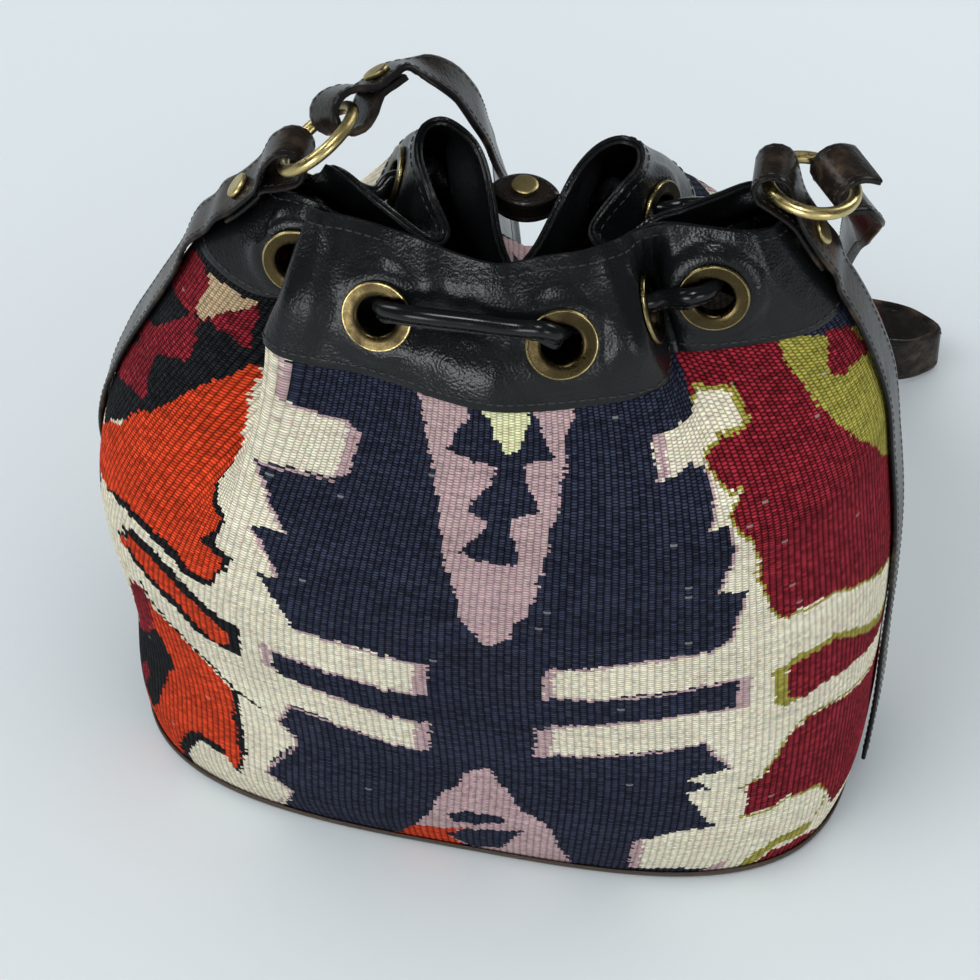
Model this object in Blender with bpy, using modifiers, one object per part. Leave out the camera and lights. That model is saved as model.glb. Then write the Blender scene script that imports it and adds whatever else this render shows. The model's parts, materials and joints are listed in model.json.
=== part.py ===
"""Drawstring shoulder bag of flat-woven wool with a gathered leather collar.

The bag stands on its base with the front towards -Y. Lengths in the tables are millimetres.
One surface carries the shape: body sections up to the seam, then the gathered collar.
Cloth, collar plies and base are skins at set distances from that surface.
"""
import math

import bmesh
import bpy
import numpy as np
from mathutils import Matrix, Vector

MM = 0.001
SHARP_EDGE = math.radians(35)

# Leather, cloth and clearances
CLEAR = 0.3
CLOTH = 2.0
PLY = 1.3
TUCK = 0.115
STRAP_WIDTH = 20.6
SIDE_THICK = 1.8
SHOULDER_THICK = 2.6
LOOP_BORE = 5.5
LOOP_INSET = 0.5
FOLD_GAP = 0.6

# Body sections: height, half width, half depth, corner exponent, centre x, turn in degrees
BODY_HEIGHT = 233.0
SECTIONS = np.array((
    (0.0, 130.0, 77.0, 3.2, -4.0, -4.0),
    (15.0, 134.0, 84.0, 3.0, -4.0, -4.0),
    (60.0, 136.5, 92.0, 2.8, -4.0, -3.0),
    (120.0, 143.0, 96.0, 2.6, -10.0, -2.0),
    (180.0, 137.0, 93.0, 2.4, -10.5, -1.0),
    (BODY_HEIGHT, 129.0, 86.0, 2.3, -7.0, 0.0),
))
BASE_LIFT = 2.5
BASE_PLATE = 2.2
BASE_RIM = 7.0
BASE_WALL = 1.7
BASE_ROUND = 1.2
SIDE_TRIM = 0.012

# Gather lines, counter-clockwise from the left side: seam x y z, eyelet level x y, top edge x y z
GATHERS = (
    ("left", -115, -9, 236, -100, -13, -88, -15, 267.5),
    ("", -113, -20, 236, -97, -24, -85.5, -20.5, 268.5),
    ("", -105, -29.5, 236, -89, -32, -80, -24, 272),
    ("eyelet_01", -94, -36, 235, -77, -36, -72, -27, 272),
    ("", -82, -38, 235, -64, -35, -66, -28, 269),
    ("eyelet_02", -67, -37.5, 234, -50, -33, -60, -28.5, 267),
    ("", -54, -37, 234, -40, -32.5, -52, -29.5, 266),
    ("", -48, -43, 234, -35, -39, -48, -33.5, 266),
    ("", -54, -49.5, 234, -42, -45.5, -52, -37.5, 266),
    ("", -66, -51, 234, -58, -49.5, -61, -37, 268),
    ("", -79, -52, 234, -73, -50.2, -69, -32, 272),
    ("", -85, -57.5, 234, -79.5, -53, -73, -33, 275),
    ("", -79, -63.5, 234, -74, -58, -69, -36.5, 277),
    ("", -67, -65, 233, -61, -58.5, -60, -38, 278),
    ("eyelet_03", -52, -66, 233, -46, -60, -47, -42, 279),
    ("", -38, -69, 233, -32, -64, -34, -46, 279),
    ("", -22, -74, 233, -17, -68, -20, -51, 279),
    ("", -4, -76.5, 233, -1, -69, -7, -53, 279),
    ("eyelet_04", 14, -73, 233, 16, -63, 7, -47, 279),
    ("", 29, -68, 233, 30, -60.5, 18, -42, 278),
    ("", 41, -63, 233, 39, -60, 26, -37, 278),
    ("", 50, -56, 233, 43.5, -55, 31, -32, 277),
    ("eyelet_05", 51.5, -48, 233, 42, -42, 34.5, -28.5, 277),
    ("", 50.5, -42, 233, 41, -29, 39, -25.5, 277),
    ("", 53.5, -38.5, 233, 45, -25, 43, -23.5, 277),
    ("", 60, -38.5, 234, 50.5, -31, 48, -22, 277),
    ("eyelet_06", 74, -35, 235, 64, -32, 60, -22, 277),
    ("", 88, -29, 235, 78, -29, 71, -22, 277),
    ("", 98, -23, 235, 87, -24.5, 78, -19, 276),
    ("", 105, -14.5, 236, 93, -16, 82, -14, 273.5),
    ("right", 107, -4, 236, 94.5, -5, 84, -6, 272),
    ("", 104, 10, 236, 91, 5, 80, 2, 274.5),
    ("", 96, 20, 236, 81.5, 6, 72, 0, 278),
    ("eyelet_07", 84, 22, 237, 70, 3, 61, -8, 278),
    ("", 70, 15, 236, 57, -5, 50, -15, 277),
    ("", 57, 5, 233, 49, -12.5, 40, -18, 273),
    ("", 48, -3, 230, 39.5, -20, 28, -26, 266),
    ("", 45, 8, 231, 33.5, -12, 20, -19.5, 267),
    ("eyelet_08", 51, 22, 233, 40, 4, 28, -9, 277),
    ("", 50, 35, 236, 42, 18, 33, 0, 279),
    ("", 43, 44, 238, 37, 28, 32.5, 9, 280),
    ("", 33, 47, 238, 28, 29, 26, 12, 280),
    ("", 22, 41, 237, 19, 20, 19, 8, 279),
    ("eyelet_09", 14, 28, 233, 17, 6, 13, -2, 277),
    ("", 8, 15, 225, 14, -8, 8, -13, 270),
    ("", 2, 6, 216, 6, -18, 2, -24, 259),
    ("", -4, 2, 212, -3, -22, -5, -28, 252),
    ("", -10, 7, 217, -14, -17, -11, -22, 260),
    ("", -17, 16, 226, -23, -8, -15, -12, 269),
    ("eyelet_10", -23, 28, 233, -29, 5, -20, -1, 276),
    ("", -30, 40, 237, -31, 19, -26, 6, 279),
    ("", -41, 46, 238, -39, 28, -35, 11, 280),
    ("", -52, 42, 238, -47, 21, -41, 6, 280),
    ("eyelet_11", -58, 28, 234, -49, 4, -41, -5, 278),
    ("", -57, 14, 230, -46, -7, -35, -18, 274),
    ("", -52, 2, 228, -41, -12, -28, -27, 265),
    ("", -57, -4, 228.5, -46.5, -16.5, -33.5, -31.5, 264.5),
    ("", -74, 6, 234, -62, -12, -51, -26.5, 274),
    ("eyelet_12", -90, 13, 237, -78, -7, -66, -16, 277),
    ("", -102, 12, 237, -90, -3, -77, -7, 271),
    ("", -111, 4, 236, -97, -4, -85.5, -9, 267),
)
PLEAT_ROWS = range(4, 13)
PLEAT_WEIGHT = 0.45
TIGHT = (range(5, 13), range(20, 25), range(39, 42), range(44, 48), range(50, 53))
EYELET_T = 0.43
EYELET_RISE = 0.49
EYELET_FLAT = 14.0
EYELET_FADE = 19.0
EYELET_SPAN = 1.4

# Eyelets: hole, barrel and flange radii, flange crown above the collar, washer below it
HOLE_R = 7.0
BARREL_R = 7.7
BORE_R = 8.1
FLANGE_R = 12.5
SEAT_R = 12.9
CROWN = 1.6
WASHER_R = 10.8
WASHER = 0.7
SKIM = 0.05
SEAT_DEEP = 4.2
SEAT_SIDES = 12

# Rings on the strap ends: centre, axis, wire
RING_R = 15.2
WIRE_R = 2.25
LEFT_RING = (-74.2, -15.1, 290.0)
LEFT_RING_AXIS = (-0.68, 0.17, 0.71)
RIGHT_RING = (92.5, -7.0, 287.5)
RIGHT_RING_AXIS = (0.13, 0.13, 0.98)

LOOP_REACH = (RING_R + math.sqrt(RING_R**2 - (STRAP_WIDTH / 2)**2)) / 2 - LOOP_INSET

CORD_R = 3.0
SHANK_BORE = 2.4
RIVET_REACH = 14.0
RIVET_TAIL = 0.8

# Slider: the leather tab that grips both cord ends
SLIDER = (-5.5, 4.0, 255.0)
SLIDER_HALF = (12.0, 8.0)
SLIDER_THICK = 9.6


def smooth(knots, values, x, period=None):
    """Read a smooth curve through values at knots; a period makes it closed."""
    knots, values, x = (np.asarray(v, float) for v in (knots, values, x))
    if period is not None:
        x = knots[0] + np.mod(x - knots[0], period)
        knots = np.concatenate(([knots[-1] - period], knots, knots[:2] + period))
        values = np.concatenate((values[-1:], values, values[:2]))
    slopes = np.gradient(values, knots, axis=0)
    i = np.clip(np.searchsorted(knots, x, side="right") - 1, 0, len(knots) - 2)
    step = knots[i + 1] - knots[i]
    s = (x - knots[i]) / step
    shape = s.shape + (1,) * (values.ndim - 1)
    s, step = s.reshape(shape), step.reshape(shape)
    return ((2 * s**3 - 3 * s**2 + 1) * values[i] + (s**3 - 2 * s**2 + s) * step * slopes[i]
            + (3 * s**2 - 2 * s**3) * values[i + 1] + (s**3 - s**2) * step * slopes[i + 1])


NAMES = [row[0] for row in GATHERS]
TABLE = np.array([row[1:] for row in GATHERS], float)
SEAM, LEVEL, TOP = TABLE[:, 0:3], TABLE[:, 3:5], TABLE[:, 5:8]
ROWS = len(GATHERS)
LEFT, RIGHT = NAMES.index("left"), NAMES.index("right")


def body_fractions():
    """Give each gather line its share of the body's perimeter, pleats taking less."""
    steps = np.linalg.norm(np.roll(SEAM, -1, axis=0) - SEAM, axis=1)
    steps[list(PLEAT_ROWS)] *= PLEAT_WEIGHT
    front, back = steps[:RIGHT], steps[RIGHT:]
    return np.concatenate(((0.0,), 0.5 * np.cumsum(front) / front.sum(),
                           0.5 + 0.5 * np.cumsum(back) / back.sum()))[:ROWS]


SHARE = body_fractions()


def section_points(height, share):
    """Points of the rounded-box section at one height, at shares of its perimeter."""
    half_w, half_d, power, centre, turn = (
        smooth(SECTIONS[:, 0], SECTIONS[:, k], height) for k in range(1, 6))
    angle = np.linspace(math.pi, 3 * math.pi, 721)
    x = half_w * np.sign(np.cos(angle)) * np.abs(np.cos(angle)) ** (2 / power)
    y = half_d * np.sign(np.sin(angle)) * np.abs(np.sin(angle)) ** (2 / power)
    run = np.concatenate(((0.0,), np.cumsum(np.hypot(np.diff(x), np.diff(y)))))
    x = np.interp(np.mod(share, 1.0) * run[-1], run, x)
    y = np.interp(np.mod(share, 1.0) * run[-1], run, y)
    turn = math.radians(turn)
    return centre + x * math.cos(turn) - y * math.sin(turn), x * math.sin(turn) + y * math.cos(turn)


def plain_surface(q, g):
    """The bag's surface at gather line q; g runs 0 to 1 up the body and 1 to 2 up the collar."""
    index = np.arange(ROWS, dtype=float)
    seam = smooth(index, SEAM, q, ROWS)
    if g <= 1.0:
        share = smooth(np.arange(ROWS + 1.0), np.append(SHARE, 1.0), np.mod(q, ROWS))
        x, y = section_points(g * BODY_HEIGHT, share)
        back = 0.5 - 0.5 * np.cos(2 * math.pi * np.clip((share - 0.42) / 1.16, 0, 1))
        back = np.where(share < 0.42, 0.5 - 0.5 * np.cos(2 * math.pi * np.clip(
            (share + 0.58) / 1.16, 0, 1)), back)
        start = 0.76 - 0.26 * np.clip(2 * back - 0.55, 0, 1)
        pull = np.clip((g - start) / (1 - start), 0, 1) ** 1.9
        return np.stack((x + pull * (seam[:, 0] - x), y + pull * (seam[:, 1] - y),
                         g * seam[:, 2]), axis=1)
    level, top = smooth(index, LEVEL, q, ROWS), smooth(index, TOP, q, ROWS)
    level = np.column_stack((level, seam[:, 2] + EYELET_RISE * (top[:, 2] - seam[:, 2])))
    t = np.full(1, g - 1.0)
    rings = np.stack((seam, level, top))
    return smooth((0.0, EYELET_T, 1.0), rings.reshape(3, -1), t).reshape(-1, 3)


def frame_at(q, g, surface=plain_surface):
    """Point, direction along the ring, direction up and outward normal."""
    h = 0.02
    centre = surface(np.array([q]), g)[0]
    along = surface(np.array([q + h]), g)[0] - surface(np.array([q - h]), g)[0]
    up = surface(np.array([q]), g + h)[0] - surface(np.array([q]), g - h)[0]
    normal = np.cross(along, up)
    normal /= np.linalg.norm(normal)
    along /= np.linalg.norm(along)
    return centre, along, np.cross(normal, along), normal


EYELETS = {name: (row, frame_at(float(row), 1 + EYELET_T))
           for row, name in enumerate(NAMES) if name.startswith("eyelet")}


def surface(q, g):
    """The bag's surface with the collar pressed flat round each eyelet."""
    points = plain_surface(q, g)
    if g <= 1.0:
        return points
    for row, (centre, _, _, normal) in EYELETS.values():
        near = np.abs(np.mod(q - row + ROWS / 2, ROWS) - ROWS / 2) < EYELET_SPAN
        away = points - centre
        lift = away @ normal
        reach = np.linalg.norm(away - lift[:, None] * normal, axis=1)
        press = np.clip((EYELET_FADE - reach) / (EYELET_FADE - EYELET_FLAT), 0, 1)
        press = np.where(near, press * press * (3 - 2 * press), 0)
        points = points - (press * lift)[:, None] * normal
    return points


def skin(q, g, offset):
    """Points at one height of the surface, moved out by offset."""
    h = 0.03
    up = surface(q, min(g + h, 2.0)) - surface(q, max(g - h, 0.0))
    along = surface(q + h, g) - surface(q - h, g)
    normal = np.cross(along, up)
    normal /= np.linalg.norm(normal, axis=1)[:, None]
    return surface(q, g) + offset * normal


def material(name, colour, rough, metal=0.0):
    mat = bpy.data.materials.new(name)
    mat.use_nodes = True
    bsdf = mat.node_tree.nodes["Principled BSDF"]
    bsdf.inputs["Base Color"].default_value = (*colour, 1.0)
    bsdf.inputs["Roughness"].default_value = rough
    bsdf.inputs["Metallic"].default_value = metal
    return mat


def shaded(mesh):
    """Shade a mesh smooth but for its sharp edges."""
    mesh.shade_smooth()
    mesh.set_sharp_from_angle(angle=SHARP_EDGE)


def add_object(name, bm, mat, where):
    bmesh.ops.recalc_face_normals(bm, faces=bm.faces)
    mesh = bpy.data.meshes.new(name)
    bm.to_mesh(mesh)
    bm.free()
    shaded(mesh)
    obj = bpy.data.objects.new(name, mesh)
    obj.data.materials.append(mat)
    where.objects.link(obj)
    return obj


def loft(name, rings, mat, where, closed, ends):
    """Close a loft through rings of points; ends caps it, ladders it or joins last ring to first."""
    bm = bmesh.new()
    grid = [[bm.verts.new(Vector(p) * MM) for p in ring] for ring in rings]
    pairs = list(zip(grid, grid[1:]))
    if ends == "join":
        pairs.append((grid[-1], grid[0]))
    for low, high in pairs:
        count = len(low)
        for i in range(count if closed else count - 1):
            j = (i + 1) % count
            bm.faces.new((low[i], low[j], high[j], high[i]))
    if ends == "cap":
        bm.faces.new(grid[0])
        bm.faces.new(grid[-1])
    if ends == "ladder":
        for ring in (grid[0], grid[-1]):
            for i in range(len(ring) // 2 - 1):
                bm.faces.new((ring[i], ring[i + 1], ring[-2 - i], ring[-1 - i]))
    bmesh.ops.triangulate(bm, faces=bm.faces, quad_method="SHORT_EDGE")
    return add_object(name, bm, mat, where)


def panel(name, q, levels, outer, inner, mat, where):
    """A skin with thickness: rings of its section run round the part from edge to edge."""
    outside = [skin(q, g, d) for g, d in zip(levels, outer)]
    inside = [skin(q, g, d) for g, d in zip(levels, inner)]
    columns = np.stack(outside + inside[::-1], axis=1)
    whole = q[-1] - q[0] > ROWS - 1.5
    return loft(name, list(columns), mat, where, True, "join" if whole else "ladder")


def columns_between(start, stop, trim=0.0):
    """Gather lines from start to stop, with one more between each two that turn tightly."""
    whole = np.arange(start, stop + 1.0)
    halves = [row + 0.5 for row in range(start, stop) if any(row in span for span in TIGHT)]
    q = np.sort(np.concatenate((whole, halves)))
    q[0] += trim
    q[-1] -= trim
    return q


def turned(name, profile, segments, mat, where):
    """Screw a half section about Z and apply it; one that leaves the axis is closed."""
    bm = bmesh.new()
    verts = [bm.verts.new((r * MM, 0, z * MM)) for r, z in profile]
    ends = verts[1:] if profile[0][0] == 0 else verts[1:] + verts[:1]
    for a, b in zip(verts, ends):
        bm.edges.new((a, b))
    obj = add_object(name, bm, mat, where)
    screw = obj.modifiers.new("turn", "SCREW")
    screw.steps = screw.render_steps = segments
    screw.use_merge_vertices = True
    screw.merge_threshold = 0.00001
    apply_modifiers(obj)
    return obj


def apply_modifiers(obj):
    depsgraph = bpy.context.evaluated_depsgraph_get()
    mesh = bpy.data.meshes.new_from_object(obj.evaluated_get(depsgraph))
    obj.modifiers.clear()
    obj.data = mesh
    bm = bmesh.new()
    bm.from_mesh(mesh)
    bmesh.ops.remove_doubles(bm, verts=bm.verts, dist=0.000005)
    bmesh.ops.recalc_face_normals(bm, faces=bm.faces)
    bm.to_mesh(mesh)
    bm.free()
    shaded(mesh)


def placed(obj, origin, axis, along=None):
    """Put an object's Z on axis at origin, its X as near along as it goes."""
    z = Vector(axis).normalized()
    x = Vector(along) if along is not None else z.orthogonal()
    x = (x - x.dot(z) * z).normalized()
    turn = Matrix((x, z.cross(x), z)).transposed().to_4x4()
    obj.matrix_world = Matrix.Translation(Vector(origin) * MM) @ turn
    return obj


def cut(obj, cutters):
    """Take cutters out of an object with exact Booleans."""
    for cutter in cutters:
        cutter.hide_render = True
        cutter.display_type = "WIRE"
        mod = obj.modifiers.new("cut", "BOOLEAN")
        mod.operation = "DIFFERENCE"
        mod.solver = "EXACT"
        mod.object = cutter
    apply_modifiers(obj)


def arc(centre, start, lift, radius, first, last, count):
    """Points on a circle whose zero is towards start and quarter turn towards lift."""
    centre, start, lift = (np.asarray(v, float) for v in (centre, start, lift))
    angles = np.radians(np.linspace(first, last, count))
    return [centre + radius * (math.cos(a) * start + math.sin(a) * lift) for a in angles]


def band(name, path, widths, thick, spacing, mat, where):
    """A flat strap along a path; widths are the across directions at the same points."""
    path, widths = np.array(path, float), np.array(widths, float)
    run = np.concatenate(((0.0,), np.cumsum(np.linalg.norm(np.diff(path, axis=0), axis=1))))
    at = np.unique(np.concatenate([np.linspace(a, b, max(2, 1 + round((b - a) / spacing)))
                                   for a, b in zip(run, run[1:])]))
    points, across = smooth(run, path, at), smooth(run, widths, at)
    heading = smooth(run, path, np.minimum(at + 0.3, run[-1])) - smooth(run, path, np.maximum(at - 0.3, 0))
    heading /= np.linalg.norm(heading, axis=1)[:, None]
    across -= np.sum(across * heading, axis=1)[:, None] * heading
    across /= np.linalg.norm(across, axis=1)[:, None]
    face = np.cross(heading, across)
    rings = []
    for p, w, n in zip(points, across, face):
        w, n = w * STRAP_WIDTH / 2, n * thick / 2
        rings.append([p - w - n, p + w - n, p + w + n, p - w + n])
    return loft(name, rings, mat, where, True, "ladder")


def rivet(name, centre, axis, grip, mat, where):
    """A capped rivet: cap above, shank through the grip, tail below."""
    half = grip / 2 + CLEAR
    profile = ((0, half + 1.8), (2.8, half + 1.7), (4.6, half + 1.0), (4.8, half), (2.0, half),
               (2.0, -half), (4.0, -half), (3.6, -half - RIVET_TAIL), (0, -half - RIVET_TAIL))
    return placed(turned(name, profile, 12, mat, where), centre, axis)


def rod_cutter(name, centre, axis, radius, length, mat, where):
    bm = bmesh.new()
    bmesh.ops.create_cone(bm, cap_ends=True, segments=12, radius1=radius * MM, radius2=radius * MM,
                          depth=length * MM)
    return placed(add_object(name, bm, mat, where), centre, axis)


def ring(name, centre, axis, mat, where):
    """A round wire ring made by turning its wire's section."""
    count = 8
    profile = [(RING_R + WIRE_R * math.cos(a), WIRE_R * math.sin(a))
               for a in (2 * math.pi * k / count for k in range(count))]
    return placed(turned(name, profile, 24, mat, where), centre, axis)


def unit(v):
    v = np.asarray(v, float)
    return v / np.linalg.norm(v)


def side_strap(name, row, ring_centre, ring_axis, towards, leave, hook, mat, where):
    """A strap up the bag's side, folded through its ring and riveted to itself.

    towards points from the ring to the strap's loop and leave is the side of the loop
    that the outer layer comes up on. Returns the strap and the rivet's place and axis.
    """
    axis = unit(ring_axis)
    out = unit(np.asarray(towards, float) - np.dot(towards, axis) * axis)
    loop = np.array(ring_centre) + out * LOOP_REACH
    across = np.cross(axis, out)
    radius = LOOP_BORE + SIDE_THICK / 2
    start = unit(np.asarray(leave, float) - np.dot(leave, across) * across)
    lift = np.cross(across, start)
    lift = lift if np.dot(lift, (hook, 0, 0)) > 0 else -lift
    q = float(row)
    cloth = 2.5 * CLEAR + SIDE_THICK / 2
    collar = PLY + 2 * CLEAR + SIDE_THICK / 2
    single = collar + RIVET_TAIL + 2 * CLEAR
    double = single + SIDE_THICK + FOLD_GAP
    up = [skin(np.array([q]), g, d)[0] for g, d in (
        (0.045, BASE_WALL + cloth + 0.6), (0.1, cloth + 0.7), (0.18, cloth + 0.6), (0.28, cloth + 0.3),
        (0.4, cloth),
        (0.55, cloth), (0.7, cloth), (0.82, cloth), (0.92, cloth + 0.4), (1.0, collar),
        (1.15, collar + 1.0), (1.32, double), (1.5, double), (1.62, double), (1.74, double), (1.88, double))]
    down = [skin(np.array([q]), g, single)[0] for g in (1.98, 1.88, 1.74, 1.62, 1.5, 1.42)]
    wrap = arc(loop, start, lift, radius, 0, 218 if hook > 0 else 245, 11)
    path = up + wrap + down
    side = -hook
    lay = [side * frame_at(q, g)[1] for g in (
        0.045, 0.1, 0.18, 0.28, 0.4, 0.55, 0.7, 0.82, 0.92, 1.0, 1.15, 1.32, 1.5, 1.6, 1.6, 1.6)]
    sign = 1.0 if across[1] > 0 else -1.0
    widths = lay + [sign * across] * len(wrap) + lay[-1:] * len(down)
    strap = band(name, path, widths, SIDE_THICK, 14.0, mat, where)
    centre, _, _, normal = frame_at(q, 1.62, surface)
    middle = centre + normal * (single + double) / 2
    return strap, middle, normal, 2 * SIDE_THICK + FOLD_GAP


def shoulder_path():
    """Centre line and across directions of the shoulder strap from ring to ring."""
    radius = LOOP_BORE + SHOULDER_THICK / 2
    reach = LOOP_REACH
    gap = SHOULDER_THICK + CLEAR
    n = unit(LEFT_RING_AXIS)
    out = unit(np.array((0.52, 0.783, 0.306)) - np.dot((0.52, 0.783, 0.306), n) * n)
    loop = np.array(LEFT_RING) + reach * out
    across = np.cross(n, out)
    away = unit(out - 0.2 * n)
    lift = np.cross(away, across)
    tip = [loop + away * s + lift * h for s, h in ((23, 2.0 - gap), (18, 2.0 - gap), (12, 2.0 - gap), (7, -4.4))]
    wrap = arc(loop, away, lift, radius, -90, -270, 9)
    lead = [loop + away * s + lift * h for s, h in ((7, 5.2), (12, 2.0), (18, 2.0), (25, 2.0))]
    left = tip + wrap + lead
    spot = loop + away * 18.0 + lift * (2.0 - gap / 2)
    left_w = [across] * len(left)
    free = (
        ((-41, 17.5, 296.5), (-0.2, 0.93, -0.3)),
        ((-33, 20, 290), (-0.2, 0.93, -0.1)),
        ((-26, 21, 279), (-0.28, 0.93, 0.23)),
        ((-21, 32, 252), (-0.35, 0.85, 0.35)),
        ((-20.5, 58, 217), (-0.45, 0.75, 0.45)),
        ((-23, 106, 150), (-0.5, 0.7, 0.5)),
        ((-25, 143, 92), (-0.5, 0.6, 0.62)),
        ((-25, 174, 42), (-0.3, 0.5, 0.8)),
        ((-14, 196, 16), (0, 0.2, 1)),
        ((14, 206, 11.5), (0, 0, 1)),
        ((60, 210, 11.5), (0, 0, 1)),
        ((105, 208, 11.5), (0, 0, 1)),
        ((132, 203, 11.5), (0, 0, 1)),
        ((140, 196, 11.5), (0, 0, 1)),
        ((134, 189, 12), (0, 0, 1)),
        ((118, 178, 18), (0.1, 0.1, 1)),
        ((107, 152, 42), (0.2, 0.4, 0.9)),
        ((102, 122, 82), (0.3, 0.5, 0.8)),
        ((101, 98, 125), (0.2, 0.6, 0.7)),
        ((103, 85, 168), (-0.1, 0.75, 0.5)),
        ((106, 62, 205), (-0.3, 0.85, 0.35)),
        ((107, 31, 238), (-0.55, 0.8, 0.1)),
        ((110, 15, 260), (-0.556, 0.827, -0.036)),
    )
    n = unit(RIGHT_RING_AXIS)
    out = unit(np.array((0.82, 0.55, -0.18)) - np.dot((0.82, 0.55, -0.18), n) * n)
    loop = np.array(RIGHT_RING) + reach * out
    across_right = np.cross(n, out)
    come = [loop + out * s - n * h for s, h in ((9.5, 10), (6, 7.4))]
    wrap = arc(loop, out, n, radius, -90, -270, 9)
    tip = [loop + out * s + n * h for s, h in ((4, 6.2), (8, 4.6))]
    right = come + wrap + tip
    path = left + [p for p, _ in free] + right
    widths = left_w + [w for _, w in free] + [across_right] * len(right)
    return path, widths, spot, lift


def through(name, before, after, outward):
    """Cord points through one eyelet: outward runs inside to outside."""
    centre, _, _, normal = EYELETS[name][1]
    way = normal if outward else -normal
    entry = np.asarray(before, float) - centre
    entry = unit(entry - np.dot(entry, normal) * normal)
    leave = np.asarray(after, float) - centre
    leave = unit(leave - np.dot(leave, normal) * normal)
    return [centre - way * 7.4 + entry * 4.5, centre - way * 3.6 + entry * 1.0, centre + 0.0,
            centre + way * 3.6 + leave * 1.0, centre + way * 7.4 + leave * 4.5]


def cord_route():
    """Drawstring points: from the slider in and out of the eyelets and back to it."""
    spot = {name: value[1][0] for name, value in EYELETS.items()}
    inside_fold = [(-36, -51.5, 255), (-26.5, -41, 252), (-31, -29, 249.5), (-42, -25.8, 249)]
    outside_fold = [(-57.5, -42.3, 249.5), (-66, -43.8, 250)]
    order = (("eyelet_09", False), ("eyelet_08", True), ("eyelet_07", False), ("eyelet_06", True),
             ("eyelet_05", False), ("eyelet_04", True), ("eyelet_03", False), ("eyelet_02", True),
             ("eyelet_01", False), ("eyelet_12", True), ("eyelet_11", False), ("eyelet_10", True))
    between = {("eyelet_03", "eyelet_02"): inside_fold, ("eyelet_02", "eyelet_01"): outside_fold,
               ("eyelet_06", "eyelet_05"): [(54, -45, 255)]}
    centre = np.array(SLIDER)
    route = [centre + (3.5, 0, 0), centre + (8.0, 0, 0), centre + (12.5, 0, 0)]
    for i, (name, outward) in enumerate(order):
        before_pts = between.get((order[i - 1][0], name)) if i else None
        after_pts = between.get((name, order[i + 1][0])) if i + 1 < len(order) else None
        before = before_pts[-1] if before_pts else (spot[order[i - 1][0]] if i else centre)
        after = after_pts[0] if after_pts else (spot[order[i + 1][0]] if i + 1 < len(order) else centre)
        if before_pts:
            route += [np.array(p, float) for p in before_pts]
        hole = through(name, before, after, outward)
        route += hole[1:] if i == 0 else hole[:-1] if i + 1 == len(order) else hole
    route += [centre - (12.5, 0, 0), centre - (8.0, 0, 0), centre - (3.5, 0, 0)]
    return np.array(route)


def slider(leather, metal, bag, tools):
    """An eye-shaped leather tab with a bore for the cord ends and a rivet through it."""
    long, wide = SLIDER_HALF
    curve = bpy.data.curves.new("cord_slider", "CURVE")
    curve.dimensions, curve.fill_mode = "2D", "BOTH"
    curve.extrude = (SLIDER_THICK / 2 - 1.0) * MM
    curve.bevel_depth = 1.0 * MM
    spline = curve.splines.new("POLY")
    turns = [2 * math.pi * k / 20 for k in range(20)]
    spline.points.add(len(turns) - 1)
    for point, a in zip(spline.points, turns):
        point.co = (long * math.cos(a) * MM, wide * math.sin(a) * abs(math.sin(a)) ** 0.5 * MM, 0, 1)
    spline.use_cyclic_u = True
    shape = bpy.data.objects.new("cord_slider", curve)
    bag.objects.link(shape)
    bpy.context.view_layer.update()
    mesh = bpy.data.meshes.new_from_object(shape.evaluated_get(bpy.context.evaluated_depsgraph_get()))
    bpy.data.objects.remove(shape)
    bm = bmesh.new()
    bm.from_mesh(mesh)
    bmesh.ops.remove_doubles(bm, verts=bm.verts, dist=0.000005)
    tab = placed(add_object("cord_slider", bm, leather, bag), SLIDER, (0, 0, 1), (1, 0, 0))
    cut(tab, [rod_cutter("cord_bore", SLIDER, (1, 0, 0), CORD_R + 2 * CLEAR, 4 * long, metal, tools),
              rod_cutter("slider_bore", SLIDER, (0, 0, 1), SHANK_BORE, RIVET_REACH, metal, tools)])
    rivet("slider_rivet", SLIDER, (0, 0, 1), SLIDER_THICK, metal, bag)


def tube(name, points, radius, mat, where):
    """A round cord along a smooth curve read at even steps."""
    run = np.concatenate(((0.0,), np.cumsum(np.linalg.norm(np.diff(points, axis=0), axis=1))))
    at = np.linspace(0, run[-1], 68)
    fine = smooth(run, points, at)
    curve = bpy.data.curves.new(name, "CURVE")
    curve.dimensions = "3D"
    curve.bevel_depth = radius * MM
    curve.bevel_resolution = 2
    curve.use_fill_caps = True
    spline = curve.splines.new("POLY")
    spline.points.add(len(fine) - 1)
    for point, co in zip(spline.points, fine):
        point.co = (*(co * MM), 1.0)
    rope = bpy.data.objects.new(name, curve)
    where.objects.link(rope)
    bpy.context.view_layer.update()
    mesh = bpy.data.meshes.new_from_object(rope.evaluated_get(bpy.context.evaluated_depsgraph_get()))
    bpy.data.objects.remove(rope)
    bm = bmesh.new()
    bm.from_mesh(mesh)
    bmesh.ops.remove_doubles(bm, verts=bm.verts, dist=0.000005)
    return add_object(name, bm, mat, where)


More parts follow.
